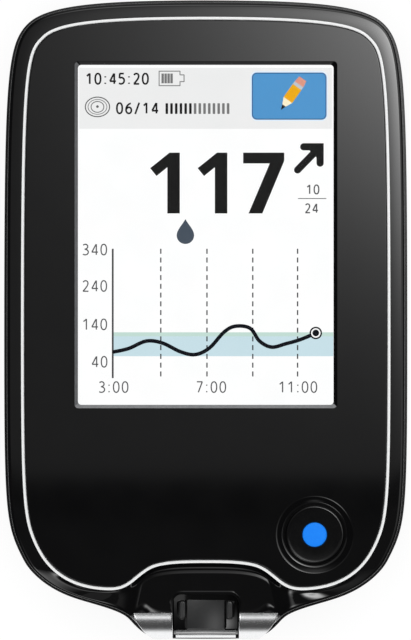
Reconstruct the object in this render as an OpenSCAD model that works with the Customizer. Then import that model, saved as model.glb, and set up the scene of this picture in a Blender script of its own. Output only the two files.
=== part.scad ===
// Handheld blood glucose meter with a touch screen, a home button and a strip port.
// It lies on its back. X is the width, +Y runs towards the top of the screen, and
// +Z points out of the screen. The origin is under the middle of the back.
// All sizes are in millimetres.

/* [Body] */
// Overall width across the sides
body_w = 60; // [58:0.5:66]
// Overall length from the top edge to the tip of the nose
body_l = 95; // [93:0.5:104]
// Wall thickness of the rear cover and the front shell
wall = 1.8; // [1.4:0.1:2]
// Width of the rounded border of the flat back
back_inset = 4.6; // [3.8:0.1:5.4]
// Half width of the nose where it meets the shoulders
nose_half_w = 11; // [10:0.2:12.5]
// Distance from the nose tip up to the straight top of the face line
nose_l = 11.35; // [10.8:0.05:11.8]
// Radius of the rounded nose end
nose_round = 4; // [3:0.1:4.4]
// Step down from the face line to the flat nose
nose_drop = 1.4; // [0.6:0.1:1.6]
// Width of the slope between the face line and the flat nose
crease_w = 1.5; // [1:0.1:2]

/* [Face] */
// Ledge of the rear cover that shows round the front shell
shell_inset = 0.4; // [0.1:0.05:0.5]
// Width of the rounded edge of the front shell
edge_round = 0.55; // [0.3:0.05:1]
// Height of the rounded edge of the front shell
edge_drop = 0.8; // [0.4:0.1:2]
// Distance from the side of the body to the inlay line
line_inset = 2.55; // [2.3:0.05:2.7]
// Extra distance of the inlay line in the two top corners
corner_w = 0.4; // [0:0.05:0.5]
// Width of the white inlay line
line_w = 0.5; // [0.3:0.05:0.8]
// Thickness of the face panel
panel_t = 1.4; // [1:0.1:1.8]
// Height of the face panel above the rim of the front shell
panel_proud = 0.4; // [0.1:0.1:0.6]
// Width of the ledge that carries inlay and face panel
ledge_w = 2; // [1.2:0.1:2.2]
// Dark margin beside the screen, from the side of the body
screen_side = 11.05; // [10.6:0.05:13]
// Dark margin above the screen, from the top of the body
screen_head = 9.75; // [9.4:0.05:12]
// Dark margin below the screen, from the nose tip
screen_foot = 34.85; // [34.2:0.05:38]
// Width of the sloped edge round the screen opening
screen_bevel = 0.5; // [0.2:0.1:0.8]

/* [Display] */
// Dark border of the display panel at the sides and top of the visible screen
lcd_border = 2.4; // [1.6:0.1:2.6]
// Dark border of the display panel below the visible screen, for its driver
lcd_driver = 7.65; // [6.5:0.05:8]
// Thickness of the display panel glass
lcd_t = 1.1; // [0.8:0.1:1.2]
// Thickness of the backlight unit
backlight_t = 1.4; // [1:0.1:1.5]
// Thickness of the touch glass
touch_t = 1; // [0.7:0.1:1.2]
// Thickness of the gasket under the face panel
gasket_t = 0.3; // [0.2:0.05:0.5]

/* [Home button] */
// Distance of the button from the middle of the body
button_x = 16.15; // [15:0.05:16.5]
// Distance of the button from the nose tip
button_up = 15.6; // [15.3:0.1:16.5]
// Radius of the round cap
cap_r = 4.35; // [3.6:0.05:4.5]
// Radius of the blue dot
dot_r = 1.8; // [1.2:0.1:2.4]
// Travel of the button
button_travel = 0.5; // [0.3:0.05:0.6]

/* [Strip port] */
// Half width of the pocket in the nose
pocket_half_w = 4.85; // [4.4:0.05:5.2]
// Depth of the pocket from the nose tip
pocket_l = 7.1; // [6.6:0.1:7.6]
// Length of the bright trim from the nose tip
trim_l = 4; // [3.4:0.1:4.4]
// Width of the slot for the test strip
slot_w = 6.2; // [5:0.1:7]
// Height of the slot for the test strip
slot_h = 0.9; // [0.6:0.05:1.2]
// Height of the middle of the slot above the main board
slot_up = 1.9; // [1.8:0.05:2]

/* [Inside] */
// Thickness of the main board
board_t = 1; // [0.8:0.1:1.2]
// Free height for chips between the main board and the display tray
board_room = 2; // [1.9:0.1:2.5]
// Room beside the battery cell, from the side of the body
battery_side = 12; // [11.5:0.5:15]
// Room above the battery cell, from the top of the body
battery_head = 16.5; // [15.5:0.5:22]
// Room below the battery cell, from the nose tip
battery_foot = 34.5; // [34:0.5:40]
// Thickness of the battery cell
battery_t = 4.2; // [3.6:0.1:4.6]
// Play above the battery cell, up to the joint line of the case
battery_play = 0.3; // [0.2:0.05:0.6]
// Radius of the shank of a case screw
screw_r = 0.8; // [0.6:0.05:0.9]
// Radius of the vibration motor
motor_r = 2.2; // [1.8:0.1:2.3]
// Length of the vibration motor
motor_l = 9; // [7:0.5:10]

/* [Hidden] */

$fn = 48;
gap = 0.05;          // play between pieces of the case
running_gap = 0.15;  // play round a piece that moves
eps = 1;             // how far a cut runs past the face it opens

// Heights of the stack, from the back up to the face
floor_z = wall;
tape_t = 0.3;
battery_z = floor_z + tape_t;
parting_z = battery_z + battery_t + battery_play;
board_up = 0.4;
board_z = parting_z + board_up;
board_top = board_z + board_t;
slot_z = board_top + slot_up;
tray_z = board_top + board_room;
tray_floor = 0.8;
backlight_z = tray_z + tray_floor;
lcd_z = backlight_z + backlight_t;
touch_z = lcd_z + lcd_t;
gasket_z = touch_z + touch_t;
panel_z = gasket_z + gasket_t;
body_h = panel_z + panel_t;
rim_z = body_h - panel_proud;
ledge_t = 2;
ledge_z = panel_z - ledge_t;

// Outline of the body
half_w = body_w / 2;
half_l = body_l / 2;
tip_y = -half_l;

// Visible screen, and the display panel behind it
screen_w = body_w - 2 * screen_side;
screen_h = body_l - screen_head - screen_foot;
screen_y = tip_y + screen_foot + screen_h / 2;
lcd_w = screen_w + 2 * lcd_border;
lcd_h = screen_h + lcd_border + lcd_driver;
lcd_foot_y = tip_y + screen_foot - lcd_driver;
lcd_y = lcd_foot_y + lcd_h / 2;

draft = 0.1;          // lean of the side wall of the front shell

// ---- curves ------------------------------------------------------------

function heading(a) = [cos(a), sin(a)];

function bezier(p, q, r, s, t) =
    pow(1 - t, 3) * p + 3 * pow(1 - t, 2) * t * q + 3 * (1 - t) * t * t * r + t * t * t * s;

// A knot is [x, y, heading, handle before, handle after, steps to the next knot].
function knot_xy(k) = [k[0], k[1]];
function curve(k) = [
    for (i = [0:len(k) - 2])
        for (j = [0:k[i][5] - 1])
            bezier(knot_xy(k[i]),
                knot_xy(k[i]) + heading(k[i][2]) * k[i][4],
                knot_xy(k[i + 1]) - heading(k[i + 1][2]) * k[i + 1][3],
                knot_xy(k[i + 1]), j / k[i][5])
];

// A half outline runs down the right side, from the top middle to the bottom middle.
function mirrored(h) = concat(h, [for (i = [len(h) - 2:-1:1]) [-h[i][0], h[i][1]]]);

function unit(v) = v / norm(v);
function inward(p, i) =
    let (n = len(p), d = unit(p[(i + 1) % n] - p[(i + n - 1) % n])) [d[1], -d[0]];
function inset(p, d) = [for (i = [0:len(p) - 1]) p[i] + inward(p, i) * d];
function between(p, q, f) = [for (i = [0:len(p) - 1]) p[i] + (q[i] - p[i]) * f];
function smooth(t) = let (c = max(0, min(1, t))) c * c * (3 - 2 * c);

// The silhouette: nearly straight top, soft corners, faintly bulging sides, wide
// bottom corners and hollow shoulders that run into the nose.
shoulder_turn = -118;
shoulder = [half_w - 3, tip_y + 11.5, shoulder_turn, 6.1, 1.2, 6];
side_knots = [
    [0, half_l, 0, 0, 16.5, 9],
    [half_w - 3.45, half_l - 3.5, -45, 3.9, 4.5, 9],
    [half_w, -4, -90, half_l - 7.5, half_l - 21.6, 6],
    shoulder
];
side_steps = 24;
nose_knots = [
    shoulder,
    [nose_half_w + 7.2, tip_y + 5.6, -165.5, 6, 6.2, 4],
    [nose_half_w, tip_y + 2.5, -130, 1.2, 1.6, 3],
    [nose_half_w - 3.3, tip_y + 0.12, -162, 1.3, 0.38, 3],
    [0, tip_y, -180, 1, 0, 0]
];
body_outline = mirrored(concat(curve(side_knots), curve(nose_knots), [[0, tip_y]]));

// Replaces the nose part of a ring by a curve of its own with a first handle of
// length reach.
function with_nose(ring, reach, knots) =
    let (start = ring[side_steps])
    mirrored(concat([for (i = [0:side_steps - 1]) ring[i]],
        curve(concat([[start[0], start[1], shoulder_turn, 0, reach, 6]], knots)),
        [[0, knots[len(knots) - 1][1]]]));

// The line on the face keeps a little more distance in the two top corners. It dips
// low beside the nose, then climbs over it.
function corner_share(n) = n[1] < 0 ? pow(2 * n[0] * n[1], 2) : 0;
line_top = tip_y + nose_l;
line_ring = [
    for (i = [0:len(body_outline) - 1])
        let (n = inward(body_outline, i))
        body_outline[i] + n * (line_inset + corner_w * corner_share(n))
];
face_line = with_nose(line_ring, 4.1, [
    [nose_half_w + 3, line_top - 4.1, 180, 5.4, 1.7, 3],
    [nose_half_w - 0.7, line_top - 2.45, 138, 1.2, 2.9, 4],
    [nose_half_w - 5.1, line_top - 0.25, 169, 1.6, 1.5, 3],
    [0, line_top, 180, 0.9, 0, 0]
]);

cavity = inset(body_outline, wall);

// Edge of the flat back
back_edge = with_nose(inset(body_outline, back_inset), 2, [
    [nose_half_w + 3.6, tip_y + 9.6, -172, 5, 2, 3],
    [nose_half_w - 3, tip_y + 7.2, -145, 1.8, 1.4, 4],
    [nose_half_w - 6, tip_y + back_inset + 0.1, -160, 1.6, 1, 3],
    [0, tip_y + back_inset, -180, 1, 0, 0]
]);

// ---- solids from rings ---------------------------------------------------

function at_height(p, z) = [for (q = p) [q[0], q[1], z]];

// Faces between ring j and the next. Rings run clockwise seen from above.
function band_faces(n, a, b) = [
    for (i = [0:n - 1])
        let (k = (i + 1) % n)
        each [[a * n + i, a * n + k, b * n + i], [a * n + k, b * n + k, b * n + i]]
];

// A closed loop of rings, such as a wall with its ledge.
module ring_loop(rings) {
    n = len(rings[0]);
    m = len(rings);
    polyhedron([for (r = rings) each r],
        [for (j = [0:m - 1]) each band_faces(n, j, (j + 1) % m)]);
}

module plate(points, z, t) {
    translate([0, 0, z]) linear_extrude(t) polygon(points);
}

module rounded_rect(w, l, r) {
    union() {
        square([w - 2 * r, l], center = true);
        square([w, l - 2 * r], center = true);
        for (x = [-1, 1])
            for (y = [-1, 1])
                translate([x * (w / 2 - r), y * (l / 2 - r)]) circle(r);
    }
}

module box_at(x0, x1, y0, y1, z0, z1) {
    translate([x0, y0, z0]) cube([x1 - x0, y1 - y0, z1 - z0]);
}

module disc(x, y, z, r, h) {
    translate([x, y, z]) cylinder(r = r, h = h);
}

// Extrudes a shape drawn in the YZ plane along X, over a width w about the middle.
module along_x(w, x = 0) {
    translate([x - w / 2, 0, 0]) rotate([90, 0, 90]) linear_extrude(w) children();
}

// ---- case ------------------------------------------------------------------

// Each case screw: [x, y]
screw_top_y = half_l - 17.5;
screw_low_y = tip_y + 18;
screw_side = half_w - 5.6;
screw_places = [[screw_side, screw_top_y], [-screw_side, screw_top_y],
    [screw_side, screw_low_y], [-screw_side, screw_low_y]];
front_boss_r = screw_r + 1.2;
rear_boss_r = screw_r + 1.7;
head_r = screw_r + 0.7;
head_seat_z = 2.4;
head_h = 1.1;
screw_l = 8;

curve_z = parting_z - 0.6;
turn_steps = 5;

back_seam = 0.05;     // the flat back reaches this far into its rounded border
module rear_shell() {
    outer = [
        for (j = [turn_steps:-1:0])
            let (a = 90 * j / turn_steps)
            at_height(between(body_outline, back_edge, 1 - cos(a)), curve_z * (1 - sin(a)))
    ];
    rim = [at_height(body_outline, parting_z), at_height(cavity, parting_z)];
    inner = [
        for (j = [0:turn_steps - 1])
            let (a = 90 * j / (turn_steps - 1))
            at_height(between(cavity, back_edge, 1 - cos(a)),
                floor_z + (curve_z - floor_z) * (1 - sin(a)))
    ];
    ring_loop(concat(outer, rim, inner));
    plate(inset(back_edge, -back_seam), 0, floor_z);
}

bay_wall = 1;
bay_h = 2.6;
battery_w = body_w - 2 * battery_side;
battery_l = body_l - battery_head - battery_foot;
battery_y = tip_y + battery_foot + battery_l / 2;
support_x = battery_w / 2 + 2.4;
support_y = battery_y - 5;
support_places = [[support_x, support_y], [-support_x, support_y]];
support_r = 1.3;

module battery_bay() {
    w = battery_w + 0.6;
    l = battery_l + 0.6;
    translate([0, battery_y, floor_z / 2])
        linear_extrude(floor_z / 2 + bay_h)
            difference() {
                square([w + 2 * bay_wall, l + 2 * bay_wall], center = true);
                square([w, l], center = true);
                square([w - 12, l + 4 * bay_wall], center = true);
                square([w + 4 * bay_wall, l - 16], center = true);
            }
}

module rear_cover() {
    color("#17181a")
        difference() {
            union() {
                rear_shell();
                battery_bay();
                for (p = screw_places)
                    disc(p[0], p[1], floor_z / 2, rear_boss_r, parting_z - floor_z / 2);
                for (p = support_places)
                    disc(p[0], p[1], floor_z / 2, support_r, board_z - floor_z / 2);
            }
            for (p = screw_places) {
                disc(p[0], p[1], -eps, head_r + 0.2, head_seat_z + eps);
                disc(p[0], p[1], 0, screw_r + 0.15, parting_z + eps);
            }
        }
}

// Height of the outside of the front shell at distance d from the edge, where the
// rim from edge to face line is span wide: rounded edge, flat, then the nose slope.
rim_span = line_inset - shell_inset - draft;
crown = 0.06;         // fall of the rim from face line to edge
function slope_share(span) = smooth((span - rim_span - corner_w) / 5);
function tip_share(span) = smooth((span - nose_l / 2) / 3.5);
function flat_z(span) = rim_z - nose_drop * slope_share(span);
function round_w(span) = edge_round + (nose_round - edge_round) * tip_share(span);
function round_h(span) = edge_drop + (nose_round - edge_drop) * tip_share(span);
function rim_height(d, span) =
    let (r = round_w(span), h = round_h(span), c = max(0, 1 - d / r))
    flat_z(span) - h * (1 - sqrt(1 - c * c)) - crown * pow(1 - d / span, 2)
        + (rim_z - flat_z(span)) * smooth((d - span + crease_w) / crease_w);

shell_foot = inset(body_outline, shell_inset);
shell_side = inset(body_outline, shell_inset + draft);
spans = [for (i = [0:len(body_outline) - 1]) norm(face_line[i] - shell_side[i])];

function rim_ring(f) = [
    for (i = [0:len(spans) - 1])
        let (p = shell_side[i] + (face_line[i] - shell_side[i]) * f)
        [p[0], p[1], rim_height(f * spans[i], spans[i])]
];

rim_steps = [0, 0.04, 0.11, 0.2, 0.3, 0.38, 0.6, 0.86, 0.93, 1];

module front_ring() {
    ledge_edge = inset(face_line, ledge_w);
    ring_loop(concat(
        [at_height(shell_foot, parting_z)],
        [for (f = rim_steps) rim_ring(f)],
        [at_height(face_line, panel_z), at_height(ledge_edge, panel_z),
            at_height(ledge_edge, ledge_z), at_height(cavity, ledge_z),
            at_height(cavity, parting_z)]));
}

pocket_y = tip_y + pocket_l;
trim_y = tip_y + trim_l;

// Right edge of the bright trim, from its top corner to the tip
trim_edge = concat(
    curve([
        [nose_half_w - 0.2, trim_y, -85, 0, 0.8, 4],
        [nose_half_w - 1.5, tip_y + 1.4, -125, 1.2, 0.7, 3],
        [nose_half_w - 2.9, tip_y + 0.15, -150, 0.5, 0, 0]
    ]),
    [[nose_half_w - 2.9, tip_y + 0.15]]);

// Plan of the trim: the end of the nose inside a thin wall, open at the tip.
// The seat in the shell is cut with play 0 and runs past the tip.
module trim_plan(play) {
    past = play > 0 ? 0 : eps;
    edge = [for (p = trim_edge) [p[0] - play, p[1]]];
    tip = edge[len(edge) - 1];
    right = concat([[edge[0][0], trim_y - play]], [for (i = [1:len(edge) - 1]) edge[i]],
        [[tip[0] - 0.15, tip_y - past]]);
    polygon(concat(right, [for (i = [len(right) - 1:-1:0]) [-right[i][0], right[i][1]]]));
}

usb_w = 7.5;
usb_h = 2.6;
usb_l = 5.3;
usb_z = board_top;
usb_mouth_gap = 0.4;
usb_front_y = half_l - 0.9;

module front_shell() {
    color("#101113")
        difference() {
            union() {
                front_ring();
                for (p = screw_places)
                    disc(p[0], p[1], parting_z, front_boss_r, ledge_z - parting_z + 0.4);
            }
            for (p = screw_places)
                disc(p[0], p[1], parting_z - eps, screw_r + 0.05, screw_l - 2);
            // pocket of the strip port and seat of the trim
            translate([0, 0, board_z]) linear_extrude(body_h)
                union() {
                    translate([0, (pocket_y + tip_y - eps) / 2])
                        rounded_rect(2 * pocket_half_w, pocket_l + eps, 1);
                    trim_plan(0);
                }
            // mouth of the charging socket
            translate([0, half_l + eps, usb_z + usb_h / 2]) rotate([90, 0, 0])
                linear_extrude(wall + 3 * eps)
                    rounded_rect(usb_w + 2 * usb_mouth_gap, usb_h + 2 * usb_mouth_gap, 0.9);
        }
}

module white_inlay() {
    color("white")
        translate([0, 0, panel_z]) linear_extrude(rim_z + 0.1 - panel_z)
            difference() {
                polygon(inset(face_line, gap));
                polygon(inset(face_line, line_w));
            }
}

dish_r = cap_r + 1.31;
groove_r = cap_r + 0.49;
dish_depth = 0.5;
button_y = tip_y + button_up;
hole_r = cap_r + running_gap;

module face_panel() {
    w0 = screen_w / 2;
    h0 = screen_h / 2;
    w1 = w0 + screen_bevel;
    h1 = h0 + screen_bevel;
    color("#0b0c0e")
        difference() {
            plate(inset(face_line, line_w + gap), panel_z, panel_t);
            translate([0, screen_y, panel_z - eps]) linear_extrude(panel_t + 2 * eps)
                rounded_rect(screen_w, screen_h, 0.6);
            // sloped edge of the screen opening
            translate([0, screen_y, body_h - screen_bevel])
                polyhedron(
                    [[-w0, -h0, 0], [w0, -h0, 0], [w0, h0, 0], [-w0, h0, 0],
                        [-w1, -h1, screen_bevel], [w1, -h1, screen_bevel],
                        [w1, h1, screen_bevel], [-w1, h1, screen_bevel]],
                    [[0, 1, 2, 3], [7, 6, 5, 4], [0, 4, 5, 1], [1, 5, 6, 2], [2, 6, 7, 3],
                        [3, 7, 4, 0]]);
            // dish round the button
            translate([button_x, button_y, body_h - dish_depth])
                cylinder(r1 = groove_r, r2 = dish_r, h = dish_depth);
            disc(button_x, button_y, panel_z - eps, hole_r, panel_t + 2 * eps);
        }
}

// ---- screen ------------------------------------------------------------------

tray_play = 0.15;
tray_wall = 0.8;
tray_w = lcd_w + 2 * (tray_play + tray_wall);
tray_h = lcd_h + 2 * (tray_play + tray_wall);
tray_foot_y = lcd_y - tray_h / 2;

module screen_gasket() {
    color("#202225")
        translate([0, 0, gasket_z]) linear_extrude(gasket_t)
            difference() {
                translate([0, lcd_y]) rounded_rect(lcd_w, lcd_h, 1);
                translate([0, screen_y]) square([screen_w + 1, screen_h + 1], center = true);
            }
}

module touch_glass() {
    color([0.75, 0.85, 0.9, 0.4])
        translate([0, lcd_y, touch_z]) linear_extrude(touch_t) rounded_rect(lcd_w, lcd_h, 0.8);
}

module lcd_panel() {
    color("#e8eef2")
        translate([0, lcd_y, lcd_z]) linear_extrude(lcd_t) square([lcd_w, lcd_h], center = true);
}

module backlight_unit() {
    color("#f4f4f0")
        translate([0, lcd_y, backlight_z]) linear_extrude(backlight_t)
            rounded_rect(lcd_w, lcd_h, 0.6);
}

// A flex tail leaves a panel at height z, turns down and lies on the board.
flex_t = 0.2;
flex_pad = 2.4;
drop_y = tray_foot_y - 0.6;
flex_end_y = drop_y - flex_pad;
module flex_tail(x, w, z) {
    color("#b8772a")
        along_x(w, x)
            polygon([
                [lcd_foot_y, z], [drop_y, z], [drop_y, board_top],
                [flex_end_y, board_top], [flex_end_y, board_top + flex_t],
                [drop_y - flex_t, board_top + flex_t], [drop_y - flex_t, z + flex_t],
                [lcd_foot_y, z + flex_t]]);
}

touch_flex_x = -6;
lcd_flex_x = 5;
touch_flex_w = 7;
lcd_flex_w = 11;

module touch_flex() {
    flex_tail(touch_flex_x, touch_flex_w, touch_z + 0.2);
}

module lcd_flex() {
    flex_tail(lcd_flex_x, lcd_flex_w, lcd_z + 0.1);
}

guide_r = cap_r + 0.75;
guide_wall = 0.6;
guide_h = 2.6;
frame_plate_z = ledge_z + 0.1;
frame_plate_top = gasket_z;
frame_foot_y = tip_y + 13.7;
peg_r = 1.6;
peg_x = lcd_w / 2 - 1.2;
peg_top_y = lcd_foot_y + lcd_h - 4;
peg_low_y = lcd_foot_y + 2.8;
peg_places = [[peg_x, peg_top_y], [-peg_x, peg_top_y], [peg_x, peg_low_y], [-peg_x, peg_low_y]];

module mid_frame() {
    plate_w = tray_w;
    flex_room = 4;
    color("#2c2e31")
        difference() {
            union() {
                translate([0, lcd_y, tray_z]) linear_extrude(gasket_z - tray_z)
                    rounded_rect(tray_w, tray_h, 1.6);
                box_at(-plate_w / 2, plate_w / 2, frame_foot_y, tray_foot_y + 1,
                    frame_plate_z, frame_plate_top);
                disc(button_x, button_y, frame_plate_top - guide_h, guide_r + guide_wall, guide_h);
                for (p = peg_places)
                    disc(p[0], p[1], board_top, peg_r, tray_z - board_top + 0.2);
            }
            // pocket for backlight, display and touch glass
            translate([0, lcd_y, backlight_z]) linear_extrude(body_h)
                square([lcd_w + 2 * tray_play, lcd_h + 2 * tray_play], center = true);
            // way out for the two flex tails
            box_at(touch_flex_x - touch_flex_w / 2 - 0.5, lcd_flex_x + lcd_flex_w / 2 + 0.5,
                tray_foot_y - flex_room, lcd_foot_y, backlight_z, body_h);
            disc(button_x, button_y, board_top, guide_r, body_h);
            for (p = peg_places)
                disc(p[0], p[1], board_top - eps, board_screw_r + 0.05, board_screw_l - board_t + eps);
        }
}

// ---- electronics ---------------------------------------------------------------

board_screw_r = 0.6;
board_screw_l = 3.2;
board_edge = wall + 0.5;

module main_board() {
    color("#1d5c3a")
        translate([0, 0, board_z]) linear_extrude(board_t)
            difference() {
                intersection() {
                    polygon(inset(body_outline, board_edge));
                    translate([-half_w, pocket_y - 0.9]) square([body_w, body_l]);
                }
                for (p = screw_places)
                    translate(p) circle(front_boss_r + 0.3);
                for (p = peg_places)
                    translate(p) circle(board_screw_r + 0.1);
            }
}

// Chips on the front of the board: [x, y, width, length, height]
chip_row_y = flex_end_y - 3.75;
chips = [[-9, lcd_y + 12, 8, 8, 0.9], [8, lcd_y + 14, 6, 9, 0.9], [10, lcd_y - 4, 5, 5, 0.8],
    [-12, lcd_y - 6, 4, 6, 0.8], [0, lcd_y - 16, 7, 4, 0.8], [1.5, chip_row_y + 0.5, 3, 3, 0.9],
    [7, chip_row_y, 3, 5, 0.9]];

module board_chips() {
    color("#26282b")
        for (c = chips)
            box_at(c[0] - c[2] / 2, c[0] + c[2] / 2, c[1] - c[3] / 2, c[1] + c[3] / 2,
                board_top, board_top + c[4]);
}

shield = [-11.7, flex_end_y - 4.25, 12, 7, 1.8];
module shield_can() {
    t = 0.2;
    color("silver")
        translate([shield[0], shield[1], board_top])
            difference() {
                linear_extrude(shield[4]) rounded_rect(shield[2], shield[3], 0.6);
                translate([0, 0, -eps]) linear_extrude(shield[4] - t + eps)
                    rounded_rect(shield[2] - 2 * t, shield[3] - 2 * t, 0.4);
            }
}

coil_w = 34;
coil_l = 46;
coil_t = 0.2;
ferrite_t = 0.4;
coil_pitch = 1.2;
coil_turns = 4;

module reader_coil() {
    color("#b4632d")
        translate([0, lcd_y, tray_z - coil_t]) linear_extrude(coil_t)
            for (i = [0:coil_turns - 1])
                let (w = coil_w - 2 * i * coil_pitch, l = coil_l - 2 * i * coil_pitch)
                difference() {
                    rounded_rect(w, l, 3);
                    rounded_rect(w - 1.2, l - 1.2, 2.4);
                }
}

module coil_ferrite() {
    color("#3a3a3c")
        translate([0, lcd_y, tray_z - coil_t - ferrite_t]) linear_extrude(ferrite_t)
            square([coil_w + 1, coil_l + 1], center = true);
}

tape_inset = 4;

module battery_cell() {
    color("#c4c8cc")
        translate([0, battery_y, battery_z]) linear_extrude(battery_t)
            rounded_rect(battery_w, battery_l, 1.5);
}

module battery_tape() {
    color("#e9e4d0")
        translate([0, battery_y, floor_z]) linear_extrude(tape_t)
            square([battery_w - 2 * tape_inset, battery_l - 2 * tape_inset], center = true);
}

lead_r = 0.5;
lead_x = 5 - battery_w / 2;
lead_l = 3.4;
plug_w = 5.2;
plug_l = 2.6;
plug_h = 2.2;
module battery_lead() {
    foot_y = tip_y + battery_foot;
    plug_y = foot_y - lead_l + 0.4;
    color("#b3261e")
        union() {
            for (x = [-0.7, 0.7])
                translate([lead_x + x, foot_y, board_z - plug_h / 2]) rotate([90, 0, 0])
                    cylinder(r = lead_r, h = lead_l);
            box_at(lead_x - plug_w / 2, lead_x + plug_w / 2, plug_y - plug_l, plug_y,
                board_z - plug_h, board_z);
        }
}

module usb_shell() {
    t = 0.3;
    color("silver")
        translate([0, usb_front_y, usb_z + usb_h / 2]) rotate([90, 0, 0])
            difference() {
                linear_extrude(usb_l) rounded_rect(usb_w, usb_h, 0.7);
                translate([0, 0, -eps]) linear_extrude(usb_l - 0.8 + eps)
                    rounded_rect(usb_w - 2 * t, usb_h - 2 * t, 0.45);
            }
}

module usb_tongue() {
    color("#1b1c1e")
        box_at(-1.9, 1.9, usb_front_y - usb_l + 0.8, usb_front_y - 0.6,
            usb_z + usb_h / 2 - 0.1, usb_z + usb_h / 2 + 0.5);
}

// ---- strip port ------------------------------------------------------------------

connector_y0 = pocket_y - 0.8;
connector_l = 7;
connector_top = slot_z + 1.4;
contact_count = 6;

module strip_connector() {
    w = slot_w + 4;
    color("#e6e2d8")
        difference() {
            box_at(-w / 2, w / 2, connector_y0, connector_y0 + connector_l,
                board_top, connector_top);
            box_at(-slot_w / 2, slot_w / 2, connector_y0 - eps, connector_y0 + connector_l - 1,
                slot_z - slot_h / 2, slot_z + slot_h / 2);
            // channels of the contacts
            for (i = [0:contact_count - 1])
                translate([contact_x(i), 0, 0])
                    box_at(-0.3, 0.3, connector_y0 + 1, connector_y0 + connector_l - 1,
                        board_top + 0.5, slot_z);
        }
}

contact_pitch = 0.95;
function contact_x(i) = (i - (contact_count - 1) / 2) * contact_pitch;

module strip_contacts() {
    y0 = connector_y0 + 1.4;
    y1 = connector_y0 + connector_l - 1;
    z0 = board_top + 0.5;
    color("gold")
        for (i = [0:contact_count - 1])
            along_x(0.4, contact_x(i))
                polygon([[y1, z0], [y1, z0 + 0.2], [y0 + 2, slot_z - slot_h / 2 + 0.3],
                    [y0 + 1, slot_z - slot_h / 2 + 0.3], [y0, slot_z - slot_h / 2 - 0.1],
                    [y0 + 0.1, slot_z - slot_h / 2 - 0.25],
                    [y0 + 1.1, slot_z - slot_h / 2 + 0.1], [y1 - 0.4, z0]]);
}

insert_half_w = pocket_half_w - 0.1;
insert_top = rim_z - nose_drop - 1.2;
lip_z = slot_z - slot_h / 2 - 0.45;
cheek_in = 2.9;
cheek_out = 4.1;

module port_insert() {
    back_y = pocket_y - 1.25;
    nose_y = tip_y + 0.75;
    color("#3a3c3f")
        difference() {
            union() {
                along_x(2 * cheek_in - 0.5)
                    polygon([[back_y, insert_top - 1], [back_y, insert_top],
                        [tip_y + 2.1, insert_top], [tip_y + 1.75, insert_top - 0.25],
                        [tip_y + 1.5, insert_top - 0.9], [tip_y + 1.2, insert_top - 1.1]]);
                along_x(2 * insert_half_w)
                    polygon([[back_y, lip_z], [back_y, insert_top - 0.9],
                        [tip_y + 1.6, insert_top - 0.9], [tip_y + 1.2, insert_top - 1.2],
                        [nose_y, slot_z + slot_h / 2 + 0.3], [nose_y, lip_z]]);
                for (s = [-1, 1])
                    translate([s * (cheek_in + cheek_out) / 2,
                        (back_y + tip_y + 3.9) / 2, insert_top - 1])
                        linear_extrude(0.9)
                            rounded_rect(cheek_out - cheek_in, back_y - tip_y - 3.9, 0.5);
            }
            box_at(-slot_w / 2, slot_w / 2, tip_y - eps, half_l,
                slot_z - slot_h / 2, slot_z + slot_h / 2);
        }
}

module port_trim() {
    top_z = rim_z - nose_drop;
    foot_z = board_z + 0.1;
    color("silver")
        difference() {
            intersection() {
                translate([0, 0, foot_z]) linear_extrude(top_z - foot_z) trim_plan(gap);
                // rounded nose end
                along_x(body_w)
                    union() {
                        translate([tip_y, foot_z]) square([body_l, top_z - nose_round - foot_z]);
                        translate([tip_y + nose_round, foot_z])
                            square([body_l, top_z - foot_z]);
                        translate([tip_y + nose_round, top_z - nose_round])
                            circle(nose_round, $fn = 96);
                    }
            }
            box_at(-pocket_half_w - gap, pocket_half_w + gap, tip_y - eps, half_l,
                lip_z - gap, body_h);
            box_at(-pocket_half_w - gap, pocket_half_w + gap, tip_y + 2.4, half_l,
                0, body_h);
        }
}

lamp_x = 6.6;
module port_lights() {
    color("#fbf7e8")
        for (s = [-1, 1])
            box_at(s * lamp_x - 0.8, s * lamp_x + 0.8, pocket_y - 0.6, pocket_y + 0.6,
                board_top, board_top + 0.7);
}

// ---- button ----------------------------------------------------------------------

cap_top = body_h - 0.35;
flange_r = cap_r + 0.5;
flange_z = gasket_z - 0.9;
flange_t = 0.7;
stem_r = 1.5;
plunger_top = board_top + 3.5;
switch_h = 3;
switch_w = 6;
plunger_r = 1.2;
dot_t = 0.5;

module home_button() {
    color("#0d0e10")
        translate([button_x, button_y, 0])
            rotate_extrude($fn = 96)
                polygon([[0, plunger_top + 0.02], [stem_r, plunger_top + 0.02],
                    [stem_r, flange_z], [flange_r, flange_z], [flange_r, flange_z + flange_t],
                    [cap_r, flange_z + flange_t], [cap_r, cap_top - 0.35],
                    [cap_r - 0.1, cap_top - 0.1], [cap_r - 0.35, cap_top],
                    [dot_r + gap, cap_top - 0.12], [dot_r + gap, cap_top - dot_t],
                    [0, cap_top - dot_t]]);
}

module button_dot() {
    color("#1e88ff")
        disc(button_x, button_y, cap_top - dot_t, dot_r, dot_t - 0.1);
}

module switch_body() {
    color("#8f9296")
        difference() {
            translate([button_x, button_y, board_top]) linear_extrude(switch_h)
                rounded_rect(switch_w, switch_w, 0.6);
            disc(button_x, button_y, board_top + switch_h - 1.4, plunger_r + 0.1, 2 * eps);
        }
}

module switch_plunger() {
    color("#e9e9ea")
        disc(button_x, button_y, plunger_top - 1.2, plunger_r, 1.2);
}

// ---- vibration motor, buzzer and screws ---------------------------------------------

motor_x = -12;
motor_y = tip_y + 23.5;
motor_z = floor_z + 0.35 + motor_r;
shaft_r = 0.35;
shaft_l = 4.4;
weight_l = 3;
boot_l = 6;
boot_side = 0.7;

module motor_barrel(r, x0, x1) {
    translate([x0, motor_y, motor_z]) rotate([0, 90, 0]) cylinder(r = r, h = x1 - x0);
}

motor_x0 = motor_x - motor_l / 2;
motor_x1 = motor_x + motor_l / 2;

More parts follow.
